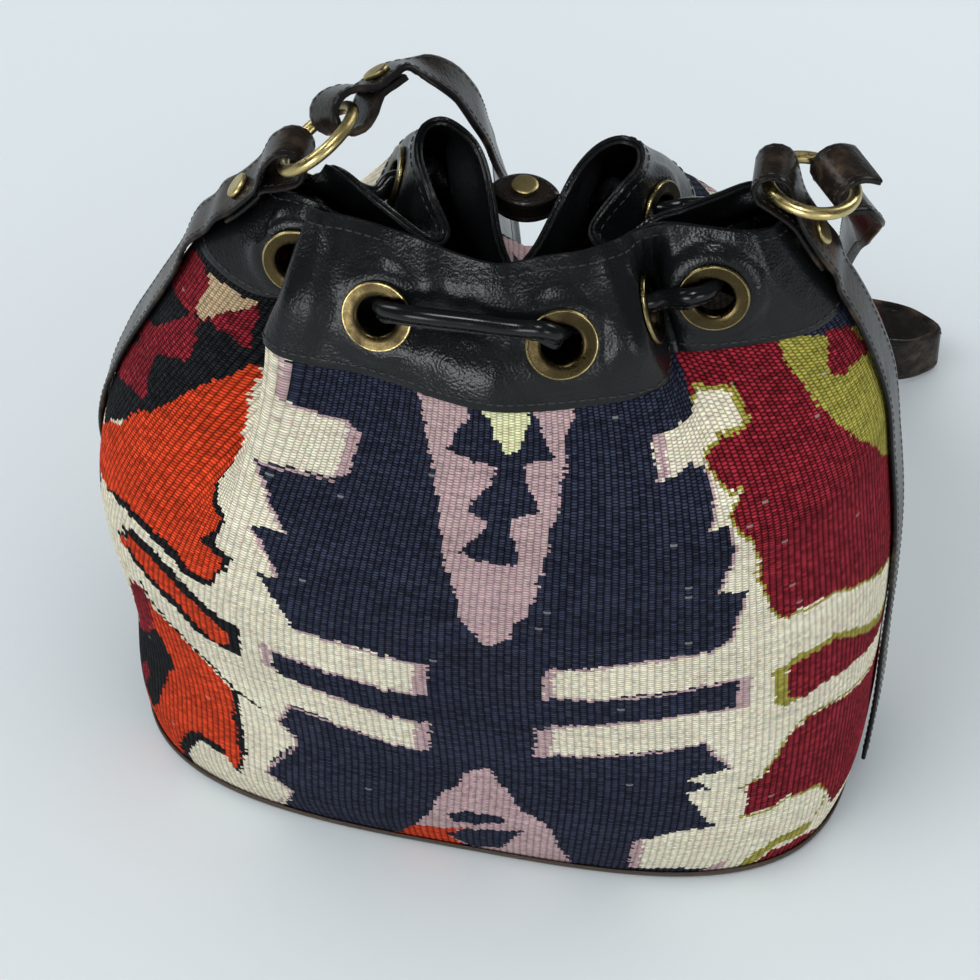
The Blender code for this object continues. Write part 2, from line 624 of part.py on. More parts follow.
def main():
    for obj in list(bpy.data.objects):
        bpy.data.objects.remove(obj)
    bag = bpy.data.collections.new("kilim_bag")
    tools = bpy.data.collections.new("cutters")
    bpy.context.scene.collection.children.link(bag)
    bpy.context.scene.collection.children.link(tools)
    wool = material("kilim_wool", (0.10, 0.10, 0.16), 0.95)
    black = material("black_leather", (0.02, 0.02, 0.02), 0.55)
    brown = material("brown_leather", (0.07, 0.04, 0.03), 0.55)
    brass = material("antique_brass", (0.36, 0.26, 0.14), 0.4, 1.0)

    levels = (BASE_LIFT / BODY_HEIGHT, 0.1, 0.28, 0.5, 0.68, 0.82, 0.92, 1.0, 1 + TUCK)
    outer = (0.0,) * len(levels)
    inner = (-CLOTH,) * len(levels)
    panel("kilim_front", columns_between(LEFT, RIGHT, SIDE_TRIM), levels, outer, inner, wool, bag)
    panel("kilim_back", columns_between(RIGHT, ROWS, SIDE_TRIM), levels, outer, inner, wool, bag)

    q = columns_between(0, ROWS)[:-1]
    rim = BASE_RIM / BODY_HEIGHT
    rings = [with_height(skin(q, 0.0, BASE_WALL - 0.9), 0.0),
             with_height(skin(q, 0.0, BASE_WALL + CLEAR), BASE_ROUND),
             skin(q, rim, BASE_WALL + CLEAR), skin(q, rim, CLEAR),
             with_height(skin(q, BASE_PLATE / BODY_HEIGHT, CLEAR), BASE_PLATE)]
    loft("base_panel", rings, black, bag, True, "cap")

    fine = (1.0, 1 + TUCK, 1.22, 1 + EYELET_T, 1.68, 2.0)
    under = -CLOTH - CLEAR
    collar = panel("collar", q, fine, [CLEAR + PLY] * 6, [CLEAR] * 6, black, bag)
    lining = panel("collar_lining", q, fine, [under, under] + [0.0] * 4,
                   [under - PLY, under - PLY] + [-PLY] * 4, black, bag)
    seats = []
    crown_at = CLEAR + PLY + CLEAR
    washer_at = -PLY - CLEAR
    for name, (_, (centre, along, _, normal)) in EYELETS.items():
        profile = ((HOLE_R, crown_at + 0.5), (8.6, crown_at + CROWN), (11.6, crown_at + 0.8 * CROWN),
                   (FLANGE_R, crown_at), (BARREL_R, crown_at), (BARREL_R, washer_at),
                   (WASHER_R, washer_at), (HOLE_R, washer_at - WASHER))
        eyelet = turned(name, profile, 12, brass, bag)
        placed(eyelet, centre, normal, along)
        high, low = crown_at - CLEAR + SKIM, washer_at + CLEAR - SKIM
        seat = turned(name + "_seat", ((0, SEAT_DEEP), (SEAT_R, SEAT_DEEP), (SEAT_R, high), (BORE_R, high),
                                       (BORE_R, low), (SEAT_R, low), (SEAT_R, -SEAT_DEEP), (0, -SEAT_DEEP)),
                      SEAT_SIDES, brass, tools)
        seats.append(placed(seat, centre, normal, along))
    cut(collar, seats)
    cut(lining, seats)

    tube("drawstring", cord_route(), CORD_R, black, bag)
    for side, row, centre, axis, towards, leave, hook in (
            ("left", LEFT, LEFT_RING, LEFT_RING_AXIS, (-0.73, -0.14, -0.66), (-0.8, 0, 0.6), 1),
            ("right", RIGHT, RIGHT_RING, RIGHT_RING_AXIS, (-1, 0, 0.13), (1, 0, 0.1), -1)):
        strap, middle, normal, grip = side_strap("side_strap_" + side, row, centre, axis, towards,
                                                 leave, hook, brown, bag)
        cut(strap, [rod_cutter("bore_" + side, middle, normal, SHANK_BORE, RIVET_REACH, brass, tools)])
        rivet("side_strap_rivet_" + side, middle, normal, grip, brass, bag)
        ring("ring_" + side, centre, axis, brass, bag)
    path, widths, spot, lift = shoulder_path()
    strap = band("shoulder_strap", path, widths, SHOULDER_THICK, 22.0, brown, bag)
    cut(strap, [rod_cutter("bore_shoulder", spot, lift, SHANK_BORE, RIVET_REACH, brass, tools)])
    rivet("shoulder_strap_rivet", spot, lift, 2 * SHOULDER_THICK + CLEAR, brass, bag)
    slider(black, brass, bag, tools)


def with_height(points, height):
    points = points.copy()
    points[:, 2] = height
    return points


main()
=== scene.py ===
"""Drawstring shoulder bag of flat-woven wool with a gathered leather collar, dressed for the camera.

Woven panels, leather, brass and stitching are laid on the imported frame. Lengths in the tables are
millimetres, apart from the camera's. The woven pattern and the camera share one picture frame.
"""

import json
import math

import bmesh
import bpy
import numpy as np
from mathutils import Matrix, Vector
from mathutils.bvhtree import BVHTree

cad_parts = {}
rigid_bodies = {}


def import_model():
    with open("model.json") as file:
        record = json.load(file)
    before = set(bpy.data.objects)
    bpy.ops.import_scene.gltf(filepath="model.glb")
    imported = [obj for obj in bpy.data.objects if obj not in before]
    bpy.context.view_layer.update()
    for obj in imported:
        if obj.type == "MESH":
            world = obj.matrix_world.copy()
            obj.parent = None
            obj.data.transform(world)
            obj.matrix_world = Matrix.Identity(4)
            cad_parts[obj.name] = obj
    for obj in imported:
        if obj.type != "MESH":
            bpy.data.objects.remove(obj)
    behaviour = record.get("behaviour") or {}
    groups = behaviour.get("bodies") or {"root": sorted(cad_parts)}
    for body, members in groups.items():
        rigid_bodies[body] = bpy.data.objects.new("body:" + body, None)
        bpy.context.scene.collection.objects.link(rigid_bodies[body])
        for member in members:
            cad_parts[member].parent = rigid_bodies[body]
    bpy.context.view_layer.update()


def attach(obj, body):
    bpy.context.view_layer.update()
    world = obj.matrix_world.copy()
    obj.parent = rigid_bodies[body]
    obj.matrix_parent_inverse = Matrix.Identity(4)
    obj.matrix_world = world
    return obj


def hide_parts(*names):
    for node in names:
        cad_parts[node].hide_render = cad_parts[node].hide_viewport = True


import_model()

bl_info = {
    "name": "Kilim Drawstring Bag",
    "version": (1, 0, 0),
    "blender": (4, 5, 0),
    "location": "3D View > Sidebar > Kilim Bag",
    "description": "Flat-woven wool bag with a gathered leather collar, brass eyelets and a strap on rings",
    "category": "Add Mesh",
}

MM = 0.001

# Leather, cloth and clearances
CLEAR = 0.3
CLOTH = 2.0
PLY = 1.3
TUCK = 0.115
STRAP_WIDTH = 20.6
SIDE_THICK = 1.8
SHOULDER_THICK = 2.6
LOOP_BORE = 5.5
LOOP_INSET = 0.5
FOLD_GAP = 0.6

# Body sections: height, half width, half depth, corner exponent, centre x, turn in degrees
BODY_HEIGHT = 233.0
SECTIONS = np.array((
    (0.0, 130.0, 77.0, 3.2, -4.0, -4.0),
    (15.0, 134.0, 84.0, 3.0, -4.0, -4.0),
    (60.0, 136.5, 92.0, 2.8, -4.0, -3.0),
    (120.0, 143.0, 96.0, 2.6, -10.0, -2.0),
    (180.0, 137.0, 93.0, 2.4, -10.5, -1.0),
    (BODY_HEIGHT, 129.0, 86.0, 2.3, -7.0, 0.0),
))
BASE_LIFT = 2.5
BASE_PLATE = 2.2
BASE_RIM = 7.0
BASE_RIM_DROP = 2.6
BASE_WALL = 1.7

# Gather lines, counter-clockwise from the left side: seam x y z, eyelet level x y, top edge x y z
GATHERS = (
    ("left", -115, -9, 236, -100, -13, -88, -15, 267.5),
    ("", -113, -20, 236, -97, -24, -85.5, -20.5, 268.5),
    ("", -105, -29.5, 236, -89, -32, -80, -24, 272),
    ("eyelet_01", -94, -36, 235, -77, -36, -72, -27, 272),
    ("", -82, -38, 235, -64, -35, -66, -28, 269),
    ("eyelet_02", -67, -37.5, 234, -50, -33, -60, -28.5, 267),
    ("", -54, -37, 234, -40, -32.5, -52, -29.5, 266),
    ("", -48, -43, 234, -35, -39, -48, -33.5, 266),
    ("", -54, -49.5, 234, -42, -45.5, -52, -37.5, 266),
    ("", -66, -51, 234, -58, -49.5, -61, -37, 268),
    ("", -79, -52, 234, -73, -50.2, -69, -32, 272),
    ("", -85, -57.5, 234, -79.5, -53, -73, -33, 275),
    ("", -79, -63.5, 234, -74, -58, -69, -36.5, 277),
    ("", -67, -65, 233, -61, -58.5, -60, -38, 278),
    ("eyelet_03", -52, -66, 233, -46, -60, -47, -42, 279),
    ("", -38, -69, 233, -32, -64, -34, -46, 279),
    ("", -22, -74, 233, -17, -68, -20, -51, 279),
    ("", -4, -76.5, 233, -1, -69, -7, -53, 279),
    ("eyelet_04", 14, -73, 233, 16, -63, 7, -47, 279),
    ("", 29, -68, 233, 30, -60.5, 18, -42, 278),
    ("", 41, -63, 233, 39, -60, 26, -37, 278),
    ("", 50, -56, 233, 43.5, -55, 31, -32, 277),
    ("eyelet_05", 51.5, -48, 233, 42, -42, 34.5, -28.5, 277),
    ("", 50.5, -42, 233, 41, -29, 39, -25.5, 277),
    ("", 53.5, -38.5, 233, 45, -25, 43, -23.5, 277),
    ("", 60, -38.5, 234, 50.5, -31, 48, -22, 277),
    ("eyelet_06", 74, -35, 235, 64, -32, 60, -22, 277),
    ("", 88, -29, 235, 78, -29, 71, -22, 277),
    ("", 98, -23, 235, 87, -24.5, 78, -19, 276),
    ("", 105, -14.5, 236, 93, -16, 82, -14, 273.5),
    ("right", 107, -4, 236, 94.5, -5, 84, -6, 272),
    ("", 104, 10, 236, 91, 5, 80, 2, 274.5),
    ("", 96, 20, 236, 81.5, 6, 72, 0, 278),
    ("eyelet_07", 84, 22, 237, 70, 3, 61, -8, 278),
    ("", 70, 15, 236, 57, -5, 50, -15, 277),
    ("", 57, 5, 233, 49, -12.5, 40, -18, 273),
    ("", 48, -3, 230, 39.5, -20, 28, -26, 266),
    ("", 45, 8, 231, 33.5, -12, 20, -19.5, 267),
    ("eyelet_08", 51, 22, 233, 40, 4, 28, -9, 277),
    ("", 50, 35, 236, 42, 18, 33, 0, 279),
    ("", 43, 44, 238, 37, 28, 32.5, 9, 280),
    ("", 33, 47, 238, 28, 29, 26, 12, 280),
    ("", 22, 41, 237, 19, 20, 19, 8, 279),
    ("eyelet_09", 14, 28, 233, 17, 6, 13, -2, 277),
    ("", 8, 15, 225, 14, -8, 8, -13, 270),
    ("", 2, 6, 216, 6, -18, 2, -24, 259),
    ("", -4, 2, 212, -3, -22, -5, -28, 252),
    ("", -10, 7, 217, -14, -17, -11, -22, 260),
    ("", -17, 16, 226, -23, -8, -15, -12, 269),
    ("eyelet_10", -23, 28, 233, -29, 5, -20, -1, 276),
    ("", -30, 40, 237, -31, 19, -26, 6, 279),
    ("", -41, 46, 238, -39, 28, -35, 11, 280),
    ("", -52, 42, 238, -47, 21, -41, 6, 280),
    ("eyelet_11", -58, 28, 234, -49, 4, -41, -5, 278),
    ("", -57, 14, 230, -46, -7, -35, -18, 274),
    ("", -52, 2, 228, -41, -12, -28, -27, 265),
    ("", -57, -4, 228.5, -46.5, -16.5, -33.5, -31.5, 264.5),
    ("", -74, 6, 234, -62, -12, -51, -26.5, 274),
    ("eyelet_12", -90, 13, 237, -78, -7, -66, -16, 277),
    ("", -102, 12, 237, -90, -3, -77, -7, 271),
    ("", -111, 4, 236, -97, -4, -85.5, -9, 267),
)
PLEAT_ROWS = range(4, 13)
PLEAT_WEIGHT = 0.45
EYELET_T = 0.43
EYELET_RISE = 0.49
EYELET_FLAT = 14.0
EYELET_FADE = 19.0
EYELET_SPAN = 1.4

# Eyelets: barrel radius, radius of the punched holes and reach of the punch to either side
BARREL_R = 7.7
PUNCH_R = 7.95
PUNCH_REACH = 4.2

# Rings on the strap ends: centre, axis, wire
RING_R = 15.2
WIRE_R = 2.25
LEFT_RING = (-74.2, -15.1, 290.0)
LEFT_RING_AXIS = (-0.68, 0.17, 0.71)
RIGHT_RING = (92.5, -7.0, 287.5)
RIGHT_RING_AXIS = (0.13, 0.13, 0.98)

LOOP_REACH = (RING_R + math.sqrt(RING_R**2 - (STRAP_WIDTH / 2)**2)) / 2 - LOOP_INSET

CORD_R = 3.0
RIVET_TAIL = 0.8

# Slider: the leather tab that grips both cord ends
SLIDER = (-5.5, 4.0, 255.0)
SLIDER_HALF = (12.0, 8.0)
SLIDER_THICK = 9.6

# Shoulder strap between the rings: centre line and across directions
SHOULDER_FREE = (
    ((-41, 17.5, 296.5), (-0.2, 0.93, -0.3)),
    ((-33, 20, 290), (-0.2, 0.93, -0.1)),
    ((-26, 21, 279), (-0.28, 0.93, 0.23)),
    ((-21, 32, 252), (-0.35, 0.85, 0.35)),
    ((-20.5, 58, 217), (-0.45, 0.75, 0.45)),
    ((-23, 106, 150), (-0.5, 0.7, 0.5)),
    ((-25, 143, 92), (-0.5, 0.6, 0.62)),
    ((-25, 174, 42), (-0.3, 0.5, 0.8)),
    ((-14, 196, 16), (0, 0.2, 1)),
    ((14, 206, 11.5), (0, 0, 1)),
    ((60, 210, 11.5), (0, 0, 1)),
    ((105, 208, 11.5), (0, 0, 1)),
    ((132, 203, 11.5), (0, 0, 1)),
    ((140, 196, 11.5), (0, 0, 1)),
    ((134, 189, 12), (0, 0, 1)),
    ((118, 178, 18), (0.1, 0.1, 1)),
    ((107, 152, 42), (0.2, 0.4, 0.9)),
    ((102, 122, 82), (0.3, 0.5, 0.8)),
    ((101, 98, 125), (0.2, 0.6, 0.7)),
    ((103, 85, 168), (-0.1, 0.75, 0.5)),
    ((106, 62, 205), (-0.3, 0.85, 0.35)),
    ((107, 31, 238), (-0.55, 0.8, 0.1)),
    ((110, 15, 260), (-0.556, 0.827, -0.036)),
)

# Camera of the photograph: turn, height and roll in degrees, distance and aim in metres, focal length and
# optical centre in pixels of its square frame
FRAME_PX = 980
CAMERA_TURN = 6.0
CAMERA_HEIGHT = 47.0
CAMERA_ROLL = 2.5
CAMERA_AWAY = 2.0
CAMERA_AIM = (0.0, -0.012, 0.14)
FOCAL_PX = 5620.0
OPTIC_PX = (524.0, 462.0)

# Woven pattern of the front, painted in order over navy: yarn, line width in mm (0 fills), then the outline's
# corners x, y, given in pixels of the same frame
PATTERN = (
    ("cream", 0, (272, 335, 296, 335, 293, 354, 289, 379, 288, 401, 290, 404, 297, 408, 316, 415, 331,
        419, 350, 426, 361, 433, 359, 442, 352, 458, 347, 476, 332, 479, 325, 477, 299, 470, 274, 465,
        257, 461, 253, 458, 257, 466, 260, 479, 265, 495, 269, 512, 276, 523, 284, 533, 274, 533, 258,
        527, 250, 530, 256, 541, 264, 555, 268, 563, 273, 571, 278, 581, 268, 577, 254, 572, 258, 579,
        266, 590, 277, 606, 285, 620, 293, 630, 320, 641, 346, 647, 370, 654, 427, 669, 427, 699, 411,
        697, 368, 687, 330, 675, 299, 663, 270, 651, 275, 673, 299, 686, 330, 697, 369, 713, 415, 725,
        431, 726, 431, 753, 415, 752, 369, 738, 330, 723, 313, 716, 291, 708, 289, 714, 277, 720, 280,
        725, 299, 745, 285, 751, 264, 773, 272, 780, 295, 794, 277, 812, 200, 800, 80, 700, 80, 470, 100,
        430, 120, 420, 259, 367, 262, 355)),
    ("black", 0, (90, 250, 200, 230, 262, 290, 283, 340, 273, 350, 259, 367, 223, 378, 195, 391, 164,
        406, 123, 419, 102, 424, 90, 428)),
    ("crimson", 0, (169, 268, 182, 258, 195, 251, 202, 261, 209, 277, 206, 290, 198, 303, 197, 312, 190,
        316, 184, 306, 177, 295, 172, 283)),
    ("crimson", 0, (137, 321, 154, 327, 173, 320, 190, 315, 200, 320, 195, 329, 196, 340, 191, 351, 184,
        361, 173, 359, 166, 354, 156, 354, 152, 365, 147, 376, 146, 393, 141, 399, 129, 386, 118, 372,
        111, 363, 113, 351, 118, 343, 131, 347, 140, 340, 135, 328)),
    ("crimson", 0, (202, 319, 227, 310, 247, 309, 256, 305, 259, 313, 252, 329, 254, 340, 250, 347, 241,
        345, 231, 336, 220, 329, 209, 322)),
    ("tan", 0, (208, 269, 227, 285, 257, 302, 247, 310, 234, 309, 227, 311, 211, 317, 200, 320, 194, 313,
        198, 302, 206, 291, 209, 277)),
    ("black", 0, (234, 462, 226, 472, 218, 484, 216, 496, 218, 506, 225, 516, 223, 524, 217, 534, 212,
        541, 220, 552, 234, 562, 222, 571, 216, 581, 210, 589, 198, 585, 182, 575, 168, 557, 146, 535,
        128, 515, 112, 496, 106, 488, 150, 450, 232, 450)),
    ("orange", 0, (88, 430, 102, 426, 109, 422, 120, 424, 131, 415, 154, 411, 163, 404, 181, 397, 188,
        390, 206, 384, 223, 376, 247, 368, 259, 367, 257, 376, 247, 395, 245, 427, 241, 436, 236, 454,
        230, 466, 220, 477, 213, 488, 210, 500, 212, 510, 219, 519, 216, 528, 208, 536, 199, 541, 206,
        549, 222, 560, 216, 573, 210, 582, 201, 580, 187, 570, 173, 551, 149, 529, 131, 509, 118, 497,
        110, 490, 88, 470)),
    ("black", 0, (126, 530, 133, 533, 152, 551, 177, 579, 198, 600, 219, 620, 228, 625, 239, 630, 242,
        659, 233, 655, 222, 651, 199, 635, 175, 610, 149, 583, 128, 553, 118, 535)),
    ("orange", 0, (122, 539, 130, 540, 149, 559, 174, 586, 195, 607, 216, 627, 228, 635, 229, 642, 225,
        646, 218, 646, 202, 631, 178, 606, 150, 577, 129, 548, 118, 542)),
    ("orange", 0, (140, 586, 156, 612, 176, 634, 197, 655, 217, 675, 232, 693, 235, 720, 239, 745, 241,
        757, 240, 776, 226, 760, 216, 750, 199, 738, 190, 732, 184, 745, 186, 756, 180, 760, 150, 735,
        125, 700, 125, 600)),
    ("cream", 0, (199, 742, 215, 754, 226, 762, 240, 778, 245, 800, 215, 795, 180, 775, 191, 757)),
    ("black", 1.4, (139, 580, 156, 609, 176, 632, 197, 653, 217, 673, 236, 692, 259, 710)),
    ("black", 0, (232, 690, 238, 694, 240, 715, 243, 740, 247, 757, 243, 758, 241, 776, 237, 772, 240,
        757, 237, 745, 233, 720)),
    ("crimson", 0, (130, 580, 144, 590, 150, 605, 155, 630, 147, 634, 130, 632)),
    ("black", 0, (125, 628, 147, 634, 156, 631, 165, 646, 175, 669, 169, 677, 163, 690, 160, 701, 155,
        712, 153, 724, 125, 705)),
    ("crimson", 0, (125, 668, 147, 666, 150, 675, 146, 688, 125, 690)),
    ("black", 0, (181, 748, 190, 732, 200, 737, 196, 746, 191, 757, 183, 752)),
    ("black", 0, (199, 736, 210, 742, 222, 750, 226, 758, 217, 754, 205, 745, 197, 744)),
    ("mauve", 0, (281, 345, 294, 345, 289, 379, 288, 402, 275, 400, 277, 375)),
    ("mauve", 0, (348, 426, 361, 433, 359, 442, 352, 458, 347, 476, 332, 479, 338, 462, 344, 445)),
    ("mauve", 0, (413, 669, 427, 669, 427, 699, 411, 697)),
    ("mauve", 0, (415, 725, 431, 726, 431, 753, 414, 752)),
    ("mauve", 0, (259, 643, 269, 648, 274, 672, 264, 668)),
    ("mauve", 0.9, (289, 404, 316, 414, 350, 425)),
    ("mauve", 0.9, (255, 461, 299, 471, 332, 480)),
    ("mauve", 0.9, (257, 466, 265, 495, 270, 512, 284, 533)),
    ("mauve", 0.9, (250, 530, 256, 541, 268, 563, 278, 581)),
    ("mauve", 0.8, (293, 631, 346, 648, 427, 669)),
    ("mauve", 1, (270, 651, 330, 676, 411, 698)),
    ("mauve", 0.8, (299, 686, 369, 713, 415, 725)),
    ("mauve", 1, (280, 722, 291, 709, 330, 724, 415, 753)),
    ("mauve", 0.8, (277, 722, 299, 745, 264, 774, 295, 795, 280, 806)),
    ("mauve", 0, (418, 390, 420, 400, 423, 414, 428, 425, 425, 429, 428, 447, 431, 463, 435, 475, 434,
        487, 439, 501, 438, 522, 441, 544, 444, 564, 449, 576, 455, 599, 459, 619, 472, 633, 478, 645,
        488, 649, 497, 647, 506, 641, 516, 625, 526, 619, 530, 607, 538, 596, 539, 582, 543, 574, 544,
        558, 549, 554, 550, 528, 558, 518, 560, 498, 562, 490, 563, 479, 567, 467, 565, 445, 568, 429,
        575, 415, 577, 400, 577, 385)),
    ("navy", 0, (469, 395, 469, 411, 468, 421, 460, 427, 453, 437, 452, 447, 445, 449, 456, 454, 476,
        463, 496, 466, 495, 473, 488, 485, 478, 495, 472, 503, 468, 511, 474, 517, 488, 520, 484, 530,
        474, 540, 459, 554, 472, 560, 494, 566, 519, 566, 517, 556, 514, 546, 512, 536, 509, 528, 511,
        519, 528, 516, 539, 516, 534, 500, 528, 489, 525, 477, 524, 465, 540, 463, 554, 459, 553, 451,
        546, 441, 540, 427, 537, 415, 535, 395)),
    ("yellow", 0, (480, 398, 533, 398, 531, 413, 528, 425, 523, 441, 518, 452, 507, 455, 500, 443, 495,
        437, 494, 427, 488, 419, 483, 412)),
    ("cream", 0, (705, 464, 707, 467, 711, 484, 715, 504, 717, 516, 711, 530, 715, 533, 728, 526, 731,
        530, 736, 549, 734, 565, 728, 581, 721, 593, 731, 594, 746, 592, 748, 598, 742, 614, 736, 632,
        728, 646, 711, 655, 679, 659, 640, 664, 600, 668, 544, 675, 541, 699, 553, 702, 600, 701, 640,
        697, 679, 693, 719, 685, 739, 680, 735, 712, 679, 719, 640, 724, 600, 728, 553, 732, 538, 733,
        535, 757, 553, 758, 600, 758, 640, 756, 679, 750, 705, 747, 717, 758, 731, 771, 719, 774, 689,
        782, 693, 787, 714, 792, 687, 795, 690, 802, 699, 815, 709, 825, 718, 830, 679, 834, 630, 845,
        628, 869, 679, 870, 707, 870, 719, 866, 705, 884, 760, 900, 830, 860, 900, 760, 925, 640, 925,
        540, 900, 560, 800, 560, 760, 520, 740, 470)),
    ("cream", 0, (653, 437, 679, 425, 691, 417, 693, 399, 703, 387, 718, 383, 736, 386, 744, 407, 751,
        420, 738, 427, 718, 441, 707, 452, 705, 464, 685, 470, 677, 478, 659, 485, 656, 468, 653, 449)),
    ("crimson", 0, (681, 350, 683, 367, 690, 395, 693, 399, 703, 386, 718, 382, 737, 385, 745, 403, 752,
        421, 738, 428, 720, 441, 708, 453, 706, 462, 714, 475, 730, 492, 746, 494, 738, 504, 731, 516,
        738, 528, 750, 543, 762, 559, 764, 567, 760, 575, 766, 595, 774, 610, 786, 620, 798, 614, 817,
        603, 837, 593, 867, 581, 897, 571, 920, 560, 920, 470, 897, 466, 883, 456, 875, 445, 855, 437,
        837, 423, 821, 407, 809, 393, 805, 383, 794, 373, 786, 360, 781, 345, 770, 330)),
    ("olive", 0, (781, 330, 781, 348, 786, 360, 794, 373, 805, 383, 809, 393, 821, 407, 837, 423, 855,
        437, 875, 445, 883, 456, 897, 467, 920, 475, 920, 400, 860, 320)),
    ("crimson", 0, (826, 330, 827, 342, 830, 354, 830, 368, 835, 377, 845, 375, 849, 366, 857, 361, 870,
        350, 850, 325)),
    ("mauve", 0, (653, 437, 665, 432, 669, 479, 659, 485)),
    ("olive", 1.4, (692, 400, 703, 389, 719, 385, 735, 388)),
    ("olive", 0, (731, 390, 738, 386, 745, 403, 752, 421, 743, 425, 738, 408)),
    ("olive", 1.2, (750, 421, 738, 428, 719, 441, 707, 453, 704, 461)),
    ("olive", 1, (706, 462, 714, 476, 730, 493, 745, 494, 738, 504, 730, 516, 738, 529, 750, 544, 762,
        560, 763, 567, 759, 575, 765, 596, 774, 611, 786, 621, 800, 614, 838, 594, 868, 582, 910, 568)),
    ("mauve", 0.9, (706, 467, 711, 485, 716, 515, 711, 530)),
    ("mauve", 0.9, (731, 530, 736, 549, 734, 565, 721, 593)),
    ("mauve", 0.9, (746, 600, 736, 632, 728, 646, 711, 655, 640, 664, 545, 675)),
    ("mauve", 1, (544, 702, 600, 702, 679, 694, 739, 681)),
    ("mauve", 0.9, (535, 733, 600, 728, 679, 719, 735, 711)),
    ("mauve", 1, (536, 758, 640, 757, 705, 747, 731, 771)),
    ("mauve", 0, (544, 674, 555, 673, 554, 703, 541, 700)),
    ("mauve", 0, (538, 733, 553, 732, 552, 758, 535, 757)),
    ("mauve", 0, (740, 680, 752, 678, 750, 710, 736, 713)),
    ("mauve", 0, (630, 845, 641, 843, 640, 869, 628, 869)),
    ("mauve", 0, (712, 867, 727, 862, 722, 880, 702, 886)),
    ("olive", 0, (773, 672, 790, 664, 800, 657, 838, 634, 877, 618, 905, 603, 915, 606, 880, 624, 838,
        640, 811, 656, 791, 670, 786, 675, 791, 697, 799, 703, 778, 707, 775, 690)),
    ("crimson", 0, (787, 675, 792, 669, 811, 656, 838, 640, 878, 624, 905, 608, 920, 615, 893, 627, 881,
        640, 853, 665, 818, 689, 806, 700, 796, 702, 790, 696)),
    ("crimson", 0, (743, 820, 747, 800, 750, 788, 764, 778, 778, 758, 790, 740, 810, 718, 833, 705, 857,
        687, 881, 661, 895, 639, 903, 612, 925, 600, 925, 700, 870, 790, 830, 805, 826, 796, 815, 789,
        788, 800, 762, 813)),
    ("olive", 1.2, (742, 790, 750, 787, 763, 776, 777, 757, 789, 739, 809, 717, 833, 703, 856, 686, 880,
        660, 894, 638)),
    ("olive", 1.2, (741, 822, 763, 814, 789, 801, 816, 788, 825, 793, 822, 806, 814, 818)),
    ("olive", 0, (746, 860, 757, 852, 780, 839, 806, 826, 812, 826, 802, 836, 780, 846, 768, 853, 758,
        860, 758, 875, 746, 878)),
    ("crimson", 0, (758, 862, 768, 854, 800, 838, 815, 830, 800, 855, 775, 880, 757, 880)),
    ("olive", 0, (889, 672, 898, 670, 902, 690, 890, 700)),
    ("mauve", 0, (471, 773, 479, 770, 488, 771, 498, 784, 508, 795, 520, 813, 535, 821, 545, 827, 557,
        847, 573, 866, 560, 878, 500, 860, 480, 850, 440, 838, 415, 827, 421, 821, 433, 811, 437, 801,
        443, 796, 449, 791, 460, 786, 464, 778)),
    ("navy", 0, (444, 815, 468, 814, 494, 819, 509, 822, 498, 827, 472, 827, 452, 823)),
    ("navy", 0, (446, 835, 468, 830, 498, 833, 522, 832, 514, 841, 502, 850, 472, 850, 458, 841)),
    ("orange", 0, (397, 835, 417, 827, 443, 830, 468, 829, 448, 835, 458, 842, 468, 850, 440, 847, 419,
        842)),
)
PATTERN_MIDDLE_PX = (500.0, 600.0)

# Weave: rows tucked under the collar, pitch of warps and rows in millimetres, and the trim at a side seam
TUCK_ROWS = 5
WARP_PITCH = 2.65
WEFT_PITCH = 1.1
SEAM_TRIM = 0.0006

# Creases of the collar: waves round it with their lean, gain and limit, and where they fade at an eyelet
CREASE_WAVES = ((9, 1.2), (17, -2.0), (31, 1.7), (46, -1.1), (71, 2.3))
CREASE_GAIN = 1.6
CREASE_LIMIT = 1.8
CREASE_CLEAR = 13.5
CREASE_FADE = 8.0

# Dent that the taut cord presses into the collar: depth, level, spread and fade at the edges
DENT = 7.0
DENT_LEVEL = 0.50
DENT_SPREAD = 0.20
DENT_FADE = 0.06

# Cord: how far above the holes' middles it runs, its step and the length of its plain ends
HOLE_LIFT = 3.5
CORD_STEP = 1.6
CORD_PLAIN_END = 12.0

# Light: what gloss mirrors of the dim room, the even daylight, and the bright panes that gloss mirrors, each
# a direction, the cosines where it starts and is full, and a strength
ROOM_GLOSS = 0.10
DAYLIGHT = 0.76
PANES = (
    ((-0.34, -0.93, 0.08), 0.955, 0.992, 11.0),
    ((0.60, -0.78, 0.14), 0.97, 0.996, 7.0),
    ((-0.78, 0.25, 0.55), 0.97, 0.996, 8.0),
    ((0.55, 0.62, 0.50), 0.97, 0.996, 8.0),
    ((-0.05, -0.30, 0.95), 0.985, 0.998, 22.0),
)

# Windows that cast soft shadows: name, direction, spread in degrees and power
WINDOWS = (
    ("window_above", (-0.75, -0.75, 1.3), 40, 0.95),
    ("window_right", (0.9, -0.7, 0.5), 50, 0.30),
)


# Sizes and colours a user would change

class BagSizes(bpy.types.PropertyGroup):
    """Counts and depths of the weave, the stitching and the creases."""
    warps: bpy.props.IntProperty(name="Warps", default=150,
                                 description="Warp ribs from side seam to side seam")
    wefts: bpy.props.IntProperty(name="Wefts", default=218,
                                 description="Weft rows from the base to the collar")
    rib: bpy.props.FloatProperty(name="Rib height", description="How far a warp rib stands out",
                                 default=0.00026, unit="LENGTH", subtype="DISTANCE")
    stitch: bpy.props.FloatProperty(name="Stitch pitch", description="Distance from stitch to stitch",
                                    default=0.0035, unit="LENGTH", subtype="DISTANCE")
    crease: bpy.props.FloatProperty(name="Crease depth", description="Depth of the creases in the collar",
                                    default=0.0005, unit="LENGTH", subtype="DISTANCE")


def dye(name, colour):
    """A colour that a user may set."""
    return bpy.props.FloatVectorProperty(name=name, description=f"{name} of the bag", subtype="COLOR",
                                         size=3, min=0, max=1, default=colour)


